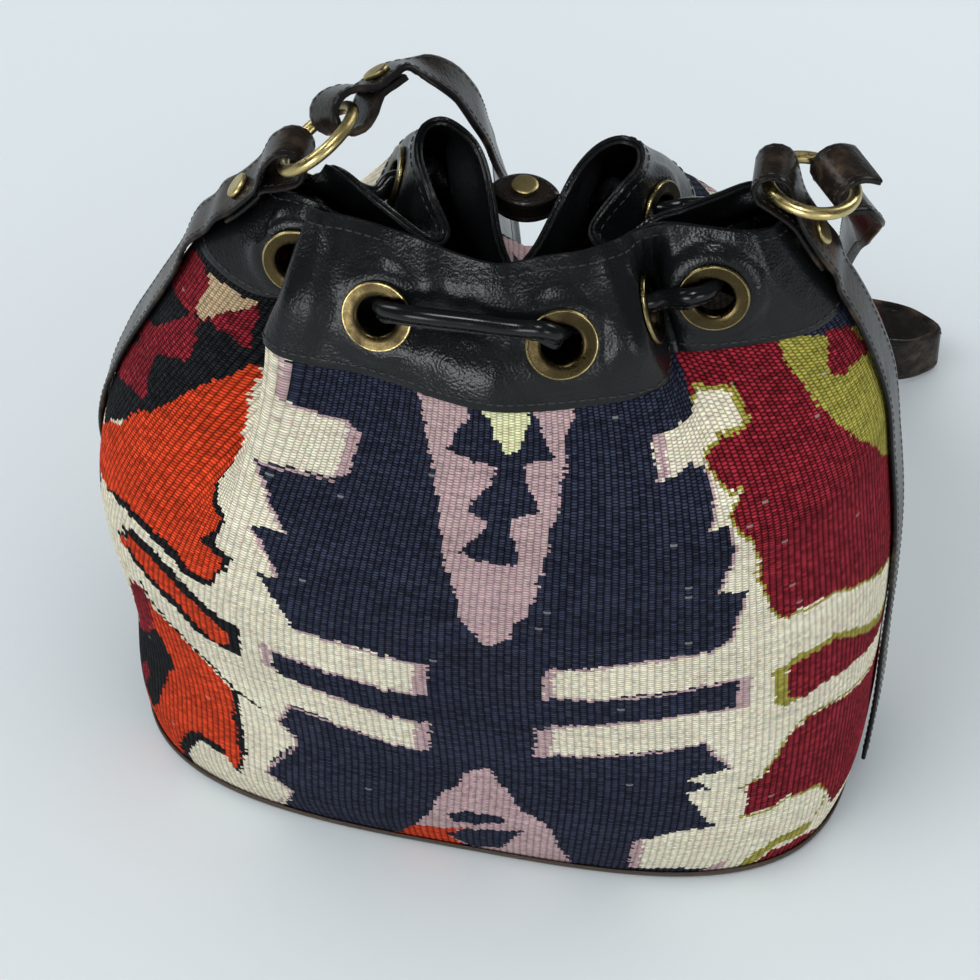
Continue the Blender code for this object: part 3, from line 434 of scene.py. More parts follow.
class BagColours(bpy.types.PropertyGroup):
    """Dyes of the wool and colours of the leather, the brass and the floor."""
    navy: dye("Navy wool", (0.024, 0.028, 0.050))
    black: dye("Black wool", (0.012, 0.013, 0.015))
    cream: dye("Cream wool", (0.89, 0.82, 0.64))
    mauve: dye("Mauve wool", (0.56, 0.39, 0.40))
    yellow: dye("Pale yellow wool", (0.86, 0.85, 0.50))
    orange: dye("Orange wool", (0.66, 0.058, 0.018))
    crimson: dye("Crimson wool", (0.225, 0.016, 0.026))
    olive: dye("Olive wool", (0.37, 0.335, 0.065))
    tan: dye("Tan wool", (0.52, 0.38, 0.23))
    leather: dye("Black leather", (0.0055, 0.0062, 0.0070))
    strap: dye("Strap leather", (0.014, 0.0105, 0.0085))
    base: dye("Base leather", (0.060, 0.038, 0.027))
    brass: dye("Ring brass", (0.62, 0.50, 0.22))
    old_brass: dye("Eyelet brass", (0.062, 0.046, 0.020))
    floor: dye("Floor cloth", (0.74, 0.80, 0.835))


def sizes():
    """The sizes as the scene holds them."""
    return bpy.context.scene.kilim_bag_sizes


def colours():
    """The colours as the scene holds them."""
    return bpy.context.scene.kilim_bag_colours


# Mesh helpers

def unit(v):
    """A direction of length one."""
    v = np.asarray(v, float)
    return v / np.linalg.norm(v)


def clear_selection():
    """Deselect every object."""
    for obj in bpy.context.view_layer.objects:
        obj.select_set(False)


def object_from(name, verts, faces, mat, smooth=True):
    """Make an object of points in millimetres."""
    mesh = bpy.data.meshes.new(name)
    mesh.from_pydata([tuple(v) for v in np.asarray(verts) * MM], [], faces)
    mesh.materials.append(mat)
    if smooth:
        mesh.shade_smooth()
    obj = bpy.data.objects.new(name, mesh)
    bpy.context.scene.collection.objects.link(obj)
    return obj


def outward(obj):
    """Turn all faces of a closed mesh outwards."""
    bm = bmesh.new()
    bm.from_mesh(obj.data)
    bmesh.ops.remove_doubles(bm, verts=bm.verts, dist=0.000002)
    bmesh.ops.recalc_face_normals(bm, faces=bm.faces)
    bm.to_mesh(obj.data)
    bm.free()


def soften(obj, degrees=35):
    """Shade smooth and keep edges sharper than an angle."""
    obj.data.shade_smooth()
    obj.data.set_sharp_from_angle(angle=math.radians(degrees))


def settle(obj, body, slot, *nodes):
    """Let a finished piece ride on its body and stand for its CAD nodes, which it hides. The slot is not
    used.
    """
    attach(obj, body)
    if nodes:
        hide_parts(*nodes)
    return obj


def finish_modifiers(obj):
    """Apply every modifier in order."""
    clear_selection()
    obj.select_set(True)
    bpy.context.view_layer.objects.active = obj
    for modifier in list(obj.modifiers):
        bpy.ops.object.modifier_apply(modifier=modifier.name)


def ring_mesh(rings, closed_along, cap):
    """Points and faces of a skin through rings of equal counts; cap closes both ends."""
    count = len(rings[0])
    faces = []
    spans = len(rings) if closed_along else len(rings) - 1
    for a in range(spans):
        low, high = a * count, (a + 1) % len(rings) * count
        for i in range(count):
            j = (i + 1) % count
            faces.append((low + i, low + j, high + j, high + i))
    if cap:
        faces.append(tuple(range(count))[::-1])
        faces.append(tuple(range((len(rings) - 1) * count, len(rings) * count)))
    return np.concatenate(rings), faces


def turned(name, profile, segments, mat, ends):
    """A circle drawn out from ring to ring of a profile; ends bridges it to itself or caps it."""
    clear_selection()
    radius, height = profile[0]
    bpy.ops.mesh.primitive_circle_add(vertices=segments, radius=radius * MM, location=(0, 0, height * MM))
    obj = bpy.context.object
    bpy.ops.object.transform_apply(location=True)
    bpy.ops.object.mode_set(mode="EDIT")
    bpy.ops.mesh.select_all(action="SELECT")
    for (r0, z0), (r1, z1) in zip(profile, profile[1:]):
        bpy.ops.mesh.extrude_region_move(TRANSFORM_OT_translate={"value": (0, 0, (z1 - z0) * MM)})
        if abs(r1 - r0) > 1e-6:
            bpy.ops.transform.resize(value=(r1 / r0, r1 / r0, 1), center_override=(0, 0, z1 * MM))
    bpy.ops.object.mode_set(mode="OBJECT")
    mesh = obj.data
    total = len(mesh.vertices)
    for k, vert in enumerate(mesh.vertices):
        vert.select = k < segments or k >= total - segments
    for edge in mesh.edges:
        edge.select = all(mesh.vertices[v].select for v in edge.vertices)
    bpy.ops.object.mode_set(mode="EDIT")
    bpy.ops.mesh.select_mode(type="EDGE")
    if ends == "bridge":
        bpy.ops.mesh.bridge_edge_loops()
    else:
        bpy.ops.mesh.select_all(action="DESELECT")
        bpy.ops.mesh.select_non_manifold()
        bpy.ops.mesh.fill_holes(sides=0)
    bpy.ops.mesh.select_all(action="SELECT")
    bpy.ops.mesh.remove_doubles(threshold=0.000001)
    bpy.ops.mesh.normals_make_consistent(inside=False)
    bpy.ops.object.mode_set(mode="OBJECT")
    obj.name = mesh.name = name
    mesh.materials.clear()
    mesh.materials.append(mat)
    soften(obj)
    return obj


def place(obj, origin, axis, along=None):
    """Put a mesh made round Z on an axis at an origin, its object staying at the world's origin."""
    z = Vector(axis).normalized()
    x = Vector(along) if along is not None else z.orthogonal()
    x = (x - x.dot(z) * z).normalized()
    turn = Matrix((x, z.cross(x), z)).transposed().to_4x4()
    obj.data.transform(Matrix.Translation(Vector(origin) * MM) @ turn)
    obj.matrix_world = Matrix.Identity(4)
    return obj


def copy_of(obj, name):
    """A second object with a mesh of its own."""
    twin = bpy.data.objects.new(name, obj.data.copy())
    twin.data.name = name
    bpy.context.scene.collection.objects.link(twin)
    return twin


def stitches(name, points, normals, body, mat, slot, length=2.5, radius=0.36, every=None):
    """Thread stitches at even steps along a line of points, merged into one piece."""
    points, normals = np.asarray(points, float), np.asarray(normals, float)
    run = np.concatenate(((0.0,), np.cumsum(np.linalg.norm(np.diff(points, axis=0), axis=1))))
    step = (every or sizes().stitch / MM)
    at = np.arange(step / 2, run[-1] - step / 2, step)
    place_of = lambda table, s: np.column_stack([np.interp(s, run, table[:, k]) for k in range(3)])
    centre, normal = place_of(points, at), place_of(normals, at)
    along = place_of(points, at + 0.4) - place_of(points, at - 0.4)
    along /= np.linalg.norm(along, axis=1)[:, None]
    normal -= np.sum(normal * along, axis=1)[:, None] * along
    normal /= np.linalg.norm(normal, axis=1)[:, None]
    side = np.cross(normal, along)
    rings = ((-0.5, 0.45, -0.35), (-0.36, 0.95, 0.0), (0.36, 0.95, 0.0), (0.5, 0.45, -0.35))
    turns = [2 * math.pi * k / 5 for k in range(5)]
    stack = []
    for run_at, girth, sink in rings:
        for a in turns:
            stack.append(centre + along * length * run_at + side * radius * girth * math.cos(a)
                         + normal * radius * (girth * math.sin(a) + sink))
    verts = np.stack(stack, axis=1)
    shape = [(r * 5 + i, r * 5 + (i + 1) % 5, (r + 1) * 5 + (i + 1) % 5, (r + 1) * 5 + i)
             for r in range(3) for i in range(5)] + [(4, 3, 2, 1, 0), (15, 16, 17, 18, 19)]
    faces = [tuple(k * 20 + v for v in face) for k in range(len(at)) for face in shape]
    obj = object_from(name, verts.reshape(-1, 3), faces, mat)
    return settle(obj, body, slot)


# The bag's surface

def smooth(knots, values, x, period=None):
    """Read a smooth curve through values at knots; a period makes it closed."""
    knots, values, x = (np.asarray(v, float) for v in (knots, values, x))
    if period is not None:
        x = knots[0] + np.mod(x - knots[0], period)
        knots = np.concatenate(([knots[-1] - period], knots, knots[:2] + period))
        values = np.concatenate((values[-1:], values, values[:2]))
    slopes = np.gradient(values, knots, axis=0)
    i = np.clip(np.searchsorted(knots, x, side="right") - 1, 0, len(knots) - 2)
    step = knots[i + 1] - knots[i]
    s = (x - knots[i]) / step
    shape = s.shape + (1,) * (values.ndim - 1)
    s, step = s.reshape(shape), step.reshape(shape)
    return ((2 * s**3 - 3 * s**2 + 1) * values[i] + (s**3 - 2 * s**2 + s) * step * slopes[i]
            + (3 * s**2 - 2 * s**3) * values[i + 1] + (s**3 - s**2) * step * slopes[i + 1])


NAMES = [row[0] for row in GATHERS]
TABLE = np.array([row[1:] for row in GATHERS], float)
SEAM, LEVEL, TOP = TABLE[:, 0:3], TABLE[:, 3:5], TABLE[:, 5:8]
ROWS = len(GATHERS)
LEFT, RIGHT = NAMES.index("left"), NAMES.index("right")


def body_fractions():
    """Give each gather line its share of the body's perimeter, pleats taking less."""
    steps = np.linalg.norm(np.roll(SEAM, -1, axis=0) - SEAM, axis=1)
    steps[list(PLEAT_ROWS)] *= PLEAT_WEIGHT
    front, back = steps[:RIGHT], steps[RIGHT:]
    return np.concatenate(((0.0,), 0.5 * np.cumsum(front) / front.sum(),
                           0.5 + 0.5 * np.cumsum(back) / back.sum()))[:ROWS]


SHARE = body_fractions()


def share_at(q):
    """Share of the body's perimeter at gather line q."""
    return smooth(np.arange(ROWS + 1.0), np.append(SHARE, 1.0), q)


def section_points(height, share):
    """Points of the rounded-box section at one height, at shares of its perimeter."""
    half_w, half_d, power, centre, turn = (
        smooth(SECTIONS[:, 0], SECTIONS[:, k], height) for k in range(1, 6))
    angle = np.linspace(math.pi, 3 * math.pi, 721)
    x = half_w * np.sign(np.cos(angle)) * np.abs(np.cos(angle)) ** (2 / power)
    y = half_d * np.sign(np.sin(angle)) * np.abs(np.sin(angle)) ** (2 / power)
    run = np.concatenate(((0.0,), np.cumsum(np.hypot(np.diff(x), np.diff(y)))))
    x = np.interp(np.mod(share, 1.0) * run[-1], run, x)
    y = np.interp(np.mod(share, 1.0) * run[-1], run, y)
    turn = math.radians(turn)
    return centre + x * math.cos(turn) - y * math.sin(turn), x * math.sin(turn) + y * math.cos(turn)


def plain_surface(q, g):
    """The bag's surface at gather line q; g runs 0 to 1 up the body and 1 to 2 up the collar."""
    index = np.arange(ROWS, dtype=float)
    seam = smooth(index, SEAM, q, ROWS)
    if g <= 1.0:
        share = share_at(np.mod(q, ROWS))
        x, y = section_points(g * BODY_HEIGHT, share)
        back = 0.5 - 0.5 * np.cos(2 * math.pi * np.clip((share - 0.42) / 1.16, 0, 1))
        back = np.where(share < 0.42, 0.5 - 0.5 * np.cos(2 * math.pi * np.clip(
            (share + 0.58) / 1.16, 0, 1)), back)
        start = 0.76 - 0.26 * np.clip(2 * back - 0.55, 0, 1)
        pull = np.clip((g - start) / (1 - start), 0, 1) ** 1.9
        return np.stack((x + pull * (seam[:, 0] - x), y + pull * (seam[:, 1] - y),
                         g * seam[:, 2]), axis=1)
    level, top = smooth(index, LEVEL, q, ROWS), smooth(index, TOP, q, ROWS)
    level = np.column_stack((level, seam[:, 2] + EYELET_RISE * (top[:, 2] - seam[:, 2])))
    t = np.full(1, g - 1.0)
    rings = np.stack((seam, level, top))
    return smooth((0.0, EYELET_T, 1.0), rings.reshape(3, -1), t).reshape(-1, 3)


def frame_at(q, g, surface=plain_surface):
    """Point, direction along the ring, direction up and outward normal."""
    h = 0.02
    centre = surface(np.array([q]), g)[0]
    along = surface(np.array([q + h]), g)[0] - surface(np.array([q - h]), g)[0]
    up = surface(np.array([q]), g + h)[0] - surface(np.array([q]), g - h)[0]
    normal = np.cross(along, up)
    normal /= np.linalg.norm(normal)
    along /= np.linalg.norm(along)
    return centre, along, np.cross(normal, along), normal


EYELETS = {name: (row, frame_at(float(row), 1 + EYELET_T))
           for row, name in enumerate(NAMES) if name.startswith("eyelet")}


def surface(q, g):
    """The bag's surface with the collar pressed flat round each eyelet."""
    points = plain_surface(q, g)
    if g <= 1.0:
        return points
    for row, (centre, _, _, normal) in EYELETS.values():
        near = np.abs(np.mod(q - row + ROWS / 2, ROWS) - ROWS / 2) < EYELET_SPAN
        away = points - centre
        lift = away @ normal
        reach = np.linalg.norm(away - lift[:, None] * normal, axis=1)
        press = np.clip((EYELET_FADE - reach) / (EYELET_FADE - EYELET_FLAT), 0, 1)
        press = np.where(near, press * press * (3 - 2 * press), 0)
        points = points - (press * lift)[:, None] * normal
    return points


def normals_at(q, g):
    """Outward directions along the surface at one height."""
    h = 0.03
    up = surface(q, min(g + h, 2.0)) - surface(q, max(g - h, 0.0))
    along = surface(q + h, g) - surface(q - h, g)
    normal = np.cross(along, up)
    return normal / np.linalg.norm(normal, axis=1)[:, None]


def skin(q, g, offset):
    """Points at one height of the surface, moved out by offset."""
    return surface(q, g) + np.asarray(offset).reshape(-1, 1) * normals_at(q, g)


def crease(q, g):
    """Soft creases of the collar, fading out at the eyelets, the side straps and the edges."""
    t = g - 1.0
    depth = np.zeros_like(q)
    rng = np.random.default_rng(7)
    for wave, lean in CREASE_WAVES:
        size, phase = rng.uniform(0.35, 1.0), rng.uniform(0, 2 * math.pi)
        depth += size / (1 + wave / 40) * np.sin(2 * math.pi * wave * q / ROWS + phase + lean * 2.2 * t)
    depth *= CREASE_GAIN * math.sin(math.pi * min(max(t, 0.0), 1.0)) ** 0.6
    points = plain_surface(q, g)
    for _, (centre, _, _, _) in EYELETS.values():
        reach = np.linalg.norm(points - centre, axis=1)
        depth *= np.clip((reach - CREASE_CLEAR) / CREASE_FADE, 0, 1)
    for row in (LEFT, RIGHT):
        depth *= np.clip(np.abs(np.mod(q - row + ROWS / 2, ROWS) - ROWS / 2) - 1.5, 0, 1)
    return np.clip(depth, -CREASE_LIMIT, CREASE_LIMIT) * sizes().crease / MM - dent(q, t)


def dent(q, t):
    """How far the taut cord presses the front of the collar in between its two middle eyelets."""
    left, right = EYELETS["eyelet_03"][0], EYELETS["eyelet_04"][0]
    span = np.clip((q - left) / (right - left), 0, 1)
    across = np.sin(math.pi * span) ** 1.5
    level = math.exp(-((t - DENT_LEVEL) / DENT_SPREAD) ** 2)
    return DENT * across * level * min(1.0, t / DENT_FADE, (1.0 - t) / DENT_FADE)


# Materials

class Nodes:
    """Short words for wiring a material's nodes."""

    def __init__(self, name):
        self.mat = bpy.data.materials.new(name)
        self.mat.use_nodes = True
        self.tree = self.mat.node_tree
        self.bsdf = self.tree.nodes["Principled BSDF"]

    def node(self, kind, **settings):
        made = self.tree.nodes.new(kind)
        for key, value in settings.items():
            setattr(made, key, value)
        return made

    def link(self, a, b):
        if isinstance(a, (int, float)):
            b.default_value = a
        elif isinstance(a, tuple):
            b.default_value = (*a, 1.0)[:len(b.default_value)]
        else:
            self.tree.links.new(a, b)

    def math(self, operation, a, b=0.0, c=0.0):
        made = self.node("ShaderNodeMath", operation=operation)
        for value, socket in zip((a, b, c), made.inputs):
            self.link(value, socket)
        return made.outputs[0]

    def mix(self, factor, a, b, blend="MIX"):
        made = self.node("ShaderNodeMix", data_type="RGBA", blend_type=blend)
        self.link(factor, made.inputs[0])
        self.link(a, made.inputs[6])
        self.link(b, made.inputs[7])
        return made.outputs[2]

    def remap(self, value, low, high, to_low, to_high):
        made = self.node("ShaderNodeMapRange")
        self.link(value, made.inputs[0])
        for k, v in enumerate((low, high, to_low, to_high), start=1):
            made.inputs[k].default_value = v
        return made.outputs[0]

    def place(self, scale=(1, 1, 1)):
        mapping = self.node("ShaderNodeMapping")
        mapping.inputs["Scale"].default_value = scale
        self.link(self.node("ShaderNodeTexCoord").outputs["Object"], mapping.inputs[0])
        return mapping.outputs[0]

    def noise(self, where, scale, detail=4.0, rough=0.55):
        made = self.node("ShaderNodeTexNoise")
        self.link(where, made.inputs["Vector"])
        made.inputs["Scale"].default_value = scale
        made.inputs["Detail"].default_value = detail
        made.inputs["Roughness"].default_value = rough
        return made.outputs[0]

    def cells(self, where, scale, feature="F1"):
        made = self.node("ShaderNodeTexVoronoi", feature=feature)
        self.link(where, made.inputs["Vector"])
        made.inputs["Scale"].default_value = scale
        return made.outputs["Distance"]

    def bump(self, height, strength, distance, after=None):
        made = self.node("ShaderNodeBump")
        made.inputs["Strength"].default_value = strength
        made.inputs["Distance"].default_value = distance
        self.link(height, made.inputs["Height"])
        if after is not None:
            self.link(after, made.inputs["Normal"])
        self.link(made.outputs[0], self.bsdf.inputs["Normal"])
        return made.outputs[0]


def flat_weave():
    """Weft-faced wool: each weft shows as a short dash on every rib, staggered from rib to rib, its colour
    darkened in the gaps between dashes as painted shade and lifted on their crests as painted highlight.
    """
    m = Nodes("flat_woven_wool")
    uv = m.node("ShaderNodeUVMap", uv_map="thread").outputs[0]
    parts = m.node("ShaderNodeSeparateXYZ")
    m.link(uv, parts.inputs[0])
    warp, weft = parts.outputs[0], parts.outputs[1]
    column = m.math("FLOOR", warp)
    shift = m.math("MULTIPLY", m.math("MODULO", column, 2.0), 0.5)
    row = m.math("ADD", weft, shift)
    across = m.math("ABSOLUTE", m.math("SINE", m.math("MULTIPLY", warp, math.pi)))
    dash = m.math("ABSOLUTE", m.math("SINE", m.math("MULTIPLY", row, math.pi)))
    round_dash = m.math("POWER", dash, 0.55)
    round_rib = m.math("POWER", across, 0.45)
    height = m.math("MULTIPLY", round_dash, round_rib)
    cell = m.node("ShaderNodeCombineXYZ")
    m.link(column, cell.inputs[0])
    m.link(m.math("FLOOR", row), cell.inputs[1])
    pick = m.node("ShaderNodeTexWhiteNoise", noise_dimensions="2D")
    m.link(cell.outputs[0], pick.inputs["Vector"])
    yarn = m.node("ShaderNodeAttribute", attribute_name="yarn").outputs["Color"]
    where = m.place()
    fuzz = m.noise(where, 2600.0, 3.0, 0.6)
    soil = m.noise(where, 22.0, 5.0, 0.6)
    bright = m.node("ShaderNodeRGBToBW")
    m.link(yarn, bright.inputs[0])
    light = m.remap(bright.outputs[0], 0.02, 0.45, 0.0, 1.0)
    chance = pick.outputs["Value"]
    # Painted shade and painted highlight: the dash height darkens the yarn in the gaps and brightens it on
    # the crests, most strongly on dark yarns. The random pick adds tone that differs from dash to dash.
    deep = m.math("MULTIPLY", m.remap(height, 0.25, 0.95, 0.10, 1.45), m.remap(chance, 0, 1, 0.58, 1.50))
    soft = m.math("MULTIPLY", m.remap(height, 0.20, 0.90, 0.62, 1.12), m.remap(chance, 0, 1, 0.92, 1.07))
    tone = m.math("ADD", m.math("MULTIPLY", deep, m.math("SUBTRACT", 1.0, light)),
                  m.math("MULTIPLY", soft, light))
    tone = m.math("MULTIPLY", tone, m.remap(soil, 0.3, 0.7, 0.90, 1.08))
    tone = m.math("MULTIPLY", tone, m.remap(fuzz, 0.25, 0.75, 0.86, 1.12))
    grey = m.node("ShaderNodeCombineColor")
    for socket in grey.inputs[:3]:
        m.link(tone, socket)
    wool = m.mix(1.0, yarn, grey.outputs[0], "MULTIPLY")
    fleck = m.math("GREATER_THAN", chance, 0.9985)
    wool = m.mix(m.math("MULTIPLY", fleck, 0.40), wool, (0.42, 0.42, 0.40))
    m.link(wool, m.bsdf.inputs["Base Color"])
    m.link(m.remap(fuzz, 0.2, 0.8, 0.80, 0.98), m.bsdf.inputs["Roughness"])
    m.bsdf.inputs["Specular IOR Level"].default_value = 0.05
    m.bsdf.inputs["Sheen Weight"].default_value = 0.01
    m.bsdf.inputs["Sheen Roughness"].default_value = 0.5
    first = m.bump(height, 1.0, 0.00050)
    m.bump(fuzz, 0.35, 0.00012, first)
    return m.mat


def leather(name, colour, worn, rough, grain, relief, attribute=None, wear=0.35, gloss=0.24):
    """Grained leather with fine creases, rubbed lighter in places, with painted shade darkening the hollows
    of its grain.
    """
    m = Nodes(name)
    where = m.place()
    pebble = m.cells(where, grain, "SMOOTH_F1")
    fine = m.noise(where, grain * 2.2, 3.0, 0.6)
    crinkle = m.noise(where, 160.0, 5.0, 0.62)
    patches = m.noise(where, 28.0, 4.0, 0.6)
    rubbed = m.math("MULTIPLY", m.remap(patches, 0.48, 0.72, 0.0, 1.0),
                    m.remap(crinkle, 0.42, 0.66, 0.0, wear))
    if attribute:
        body = m.node("ShaderNodeAttribute", attribute_name=attribute).outputs["Color"]
        made = m.mix(rubbed, body, m.mix(1.0, body, tuple(worn), "ADD"))
    else:
        made = m.mix(rubbed, tuple(colour), tuple(worn))
    # Painted shade: the colour darkens towards near black in the grain's hollows, where the pebble bump is
    # lowest.
    pit_shade = m.remap(pebble, 0.0, 0.6, 0.25, 0.0)
    m.link(m.mix(pit_shade, made, (0.004, 0.004, 0.004)), m.bsdf.inputs["Base Color"])
    m.link(m.math("ADD", m.remap(patches, 0.3, 0.7, rough - 0.06, rough + 0.10),
                  m.remap(fine, 0.3, 0.7, -0.04, 0.05)), m.bsdf.inputs["Roughness"])
    m.bsdf.inputs["Specular IOR Level"].default_value = gloss
    first = m.bump(m.noise(where, 45.0, 3.0, 0.5), 0.5 * relief, 0.0040)
    second = m.bump(crinkle, 0.22 * relief, 0.0012, first)
    third = m.bump(pebble, relief, 0.00030, second)
    m.bump(fine, 0.3 * relief, 0.00008, third)
    return m.mat


def metal(name, colour, tarnish, rough):
    """Brass with tarnish in patches and fine rubbing marks."""
    m = Nodes(name)
    where = m.place()
    patches = m.noise(where, 130.0, 5.0, 0.65)
    pits = m.noise(where, 1400.0, 3.0, 0.6)
    stain = m.remap(patches, 0.40, 0.70, 0.0, 0.85)
    m.link(m.mix(stain, tuple(colour), tuple(tarnish)), m.bsdf.inputs["Base Color"])
    m.link(m.math("ADD", m.remap(patches, 0.35, 0.7, rough, rough + 0.22),
                  m.remap(pits, 0.3, 0.7, -0.05, 0.08)), m.bsdf.inputs["Roughness"])
    m.bsdf.inputs["Metallic"].default_value = 1.0
    m.bump(pits, 0.25, 0.00008)
    return m.mat


def thread(name, colour, rough=0.55):
    """Twisted sewing thread."""
    m = Nodes(name)
    where = m.place()
    twist = m.noise(where, 2400.0, 2.0, 0.5)
    m.link(m.mix(m.remap(twist, 0.3, 0.7, 0.0, 1.0), tuple(colour), tuple(c * 1.8 + 0.01 for c in colour)),
           m.bsdf.inputs["Base Color"])
    m.link(m.remap(twist, 0.3, 0.7, rough - 0.1, rough + 0.15), m.bsdf.inputs["Roughness"])
    m.bump(twist, 0.4, 0.0001)
    return m.mat


def material(name):
    """Find a finish by name, making it the first time."""
    found = bpy.data.materials.get(name)
    if found:
        return found
    c = colours()

    def hide(colour, worn, rough, grain, relief, **more):
        return lambda: leather(name, colour, worn, rough, grain, relief, **more)

    made = {
        "flat_woven_wool": flat_weave,
        "grained_black_hide": hide(c.leather, (0.012, 0.012, 0.013), 0.27, 1100.0, 0.50),
        "lining_hide": hide([v * 0.85 for v in c.leather], (0.010, 0.010, 0.010), 0.32, 1100.0, 0.45),
        "base_hide": hide(c.base, (0.14, 0.10, 0.08), 0.45, 900.0, 0.6),
        "strap_hide": hide(c.strap, (0.150, 0.100, 0.064), 0.27, 1000.0, 0.30,
                           attribute="tint", wear=1.0, gloss=0.12),
        "cord_hide": hide(c.leather, (0.012, 0.012, 0.013), 0.18, 1500.0, 0.05),
        "slider_hide": hide(c.strap, (0.05, 0.036, 0.028), 0.27, 1000.0, 0.4),
        "ring_brass": lambda: metal(name, c.brass, [v * 0.6 for v in c.brass], 0.24),
        "lip_brass": lambda: metal(name, [v * 0.55 for v in c.brass], (0.07, 0.052, 0.026), 0.22),
        "eyelet_brass": lambda: metal(name, c.old_brass, (0.026, 0.018, 0.010), 0.22),
        "rivet_brass": lambda: metal(name, [v * 0.85 for v in c.brass], (0.26, 0.20, 0.10), 0.30),
        "black_thread": lambda: thread(name, (0.012, 0.012, 0.013)),
        "brown_thread": lambda: thread(name, (0.010, 0.008, 0.007)),
    }[name]()
    made.name = name
    return made


# Woven body

def camera_axes():
    """The camera's place in metres and its right, up and backward directions."""
    turn, height, roll = (math.radians(v) for v in (CAMERA_TURN, CAMERA_HEIGHT, CAMERA_ROLL))
    back = np.array((math.sin(turn) * math.cos(height), -math.cos(turn) * math.cos(height), math.sin(height)))
    right = unit(np.cross(-back, (0.0, 0.0, 1.0)))
    up = np.cross(right, -back)
    return (np.array(CAMERA_AIM) + back * CAMERA_AWAY, right * math.cos(roll) + up * math.sin(roll),
            up * math.cos(roll) - right * math.sin(roll), back)


def lines_by_share():
    """Shares of the body's perimeter and the gather lines they stand for."""
    lines = np.linspace(0, ROWS, 4001)
    shares = share_at(np.minimum(lines, ROWS - 1e-6))
    shares[-1] = 1.0
    return shares, lines


class FrontCloth:
    """The front of the cloth as the camera sees it, which turns a pixel into warp and weft counts."""

    def __init__(self):
        warps, self.wefts = sizes().warps, sizes().wefts
        self.warps = warps
        across = np.linspace(0, warps, 2 * warps + 1)
        q = np.interp(across / warps / 2, *lines_by_share())
        levels = np.concatenate((np.linspace(0, 1, 160), (1.03, 1.06, 1 + TUCK)))
        rise = np.where(levels <= 1, self.wefts * levels, self.wefts + (levels - 1) / TUCK * TUCK_ROWS)
        self.points = np.concatenate([skin(q, g, 0.0) for g in levels]) * MM
        self.counts = np.column_stack((np.tile(across, len(levels)), np.repeat(rise, len(across))))
        n = len(across)
        corners = [i * n + j for i in range(len(levels) - 1) for j in range(n - 1)]
        self.triangles = [t for a in corners for t in ((a, a + 1, a + 1 + n), (a, a + 1 + n, a + n))]
        self.tree = BVHTree.FromPolygons([Vector(p) for p in self.points], self.triangles)
        self.place, self.right, self.up, self.back = camera_axes()

    def counts_at(self, pixel):
        """Warp and weft counts at a pixel, or None past the side of the cloth that faces the camera."""
        x, y = (np.asarray(pixel) - OPTIC_PX) / FOCAL_PX
        ray = Vector(unit(x * self.right - y * self.up - self.back))
        hit, normal, index, _ = self.tree.ray_cast(Vector(self.place), ray)
        if hit is None or normal.dot(ray) > 0:
            return None
        first, *others = self.triangles[index]
        sides = (self.points[others] - self.points[first]).T
        share = np.linalg.lstsq(sides, np.array(hit) - self.points[first], rcond=None)[0]
        return self.counts[first] + share @ (self.counts[others] - self.counts[first])

    def outline(self, pixels):
        """Counts along an outline. A corner past the cloth slides in to it, then goes beyond its edge."""
        corners = []
        for pixel in np.array(pixels, float).reshape(-1, 2):
            slid = 0
            found = self.counts_at(pixel)
            while found is None:
                pixel = pixel + unit(np.array(PATTERN_MIDDLE_PX) - pixel)
                slid += 1
                found = self.counts_at(pixel)
            warp, weft = np.round(found, 1)
            if slid > 2 and warp < 12:
                warp = -3
            elif slid > 2 and warp > self.warps - 12:
                warp = self.warps + 3
            elif slid > 2 and weft < 12:
                weft = -3
            elif slid > 2 and weft > self.wefts - 6:
                weft = self.wefts + 8
            corners.append((warp, round(weft)))
        return np.array(corners, float)


def inside_fill(u, v, loop):
    """Which points lie inside a closed loop."""
    inside = np.zeros(u.shape, bool)
    for (x0, y0), (x1, y1) in zip(loop, np.roll(loop, -1, axis=0)):
        if y0 == y1:
            continue
        cross = (y0 > v) != (y1 > v)
        inside ^= cross & (u < (x1 - x0) * (v - y0) / (y1 - y0) + x0)
    return inside


def near_line(u, v, line, half_width):
    """Which points lie within half_width millimetres of a line of warp and weft counts."""
    near = np.zeros(u.shape, bool)
    line = line * (WARP_PITCH, WEFT_PITCH)
    x, y = u * WARP_PITCH, v * WEFT_PITCH
    for a, b in zip(line, line[1:]):
        step = b - a
        s = np.clip(((x - a[0]) * step[0] + (y - a[1]) * step[1]) / max(step @ step, 1e-9), 0, 1)
        near |= np.hypot(x - a[0] - s * step[0], y - a[1] - s * step[1]) < half_width
    return near


def yarn_colours(chart, warp, weft, seed):
    """Dye of each woven face from the chart, with the uneven dyeing of hand-spun wool."""
    rng = np.random.default_rng(seed)
    c = colours()
    warps, wefts = sizes().warps, sizes().wefts
    row = np.clip(weft.astype(int), 0, wefts + 19)
    column = np.clip(warp.astype(int), 0, warps + 9)
    u = warp + rng.normal(0, 0.22, wefts + 20)[row]
    v = weft + rng.normal(0, 0.35, warps + 10)[column]
    colour = np.tile(np.array(c.navy), (len(u), 1))
    pale = np.zeros(len(u))
    for yarn, width, outline in chart:
        if width:
            mask = near_line(u, v, outline, max(width / 2, 0.62))
        else:
            mask = inside_fill(u, v, outline)
        colour[mask] = np.array(getattr(c, yarn))
        pale[mask] = yarn in ("cream", "mauve", "yellow", "tan")
    bands = rng.normal(0, 0.05, wefts + 20)[row]
    bands += 0.06 * np.sin(weft * 0.21 + 1.3 * np.sin(weft * 0.05)) * (1 - 0.5 * pale)
    spots = rng.normal(0, 0.09, len(u))
    colour = colour * (1 + bands + spots)[:, None]
    tilt = rng.normal(0, 0.03, (len(u), 3))
    return np.clip(colour * (1 + tilt), 0, 1)


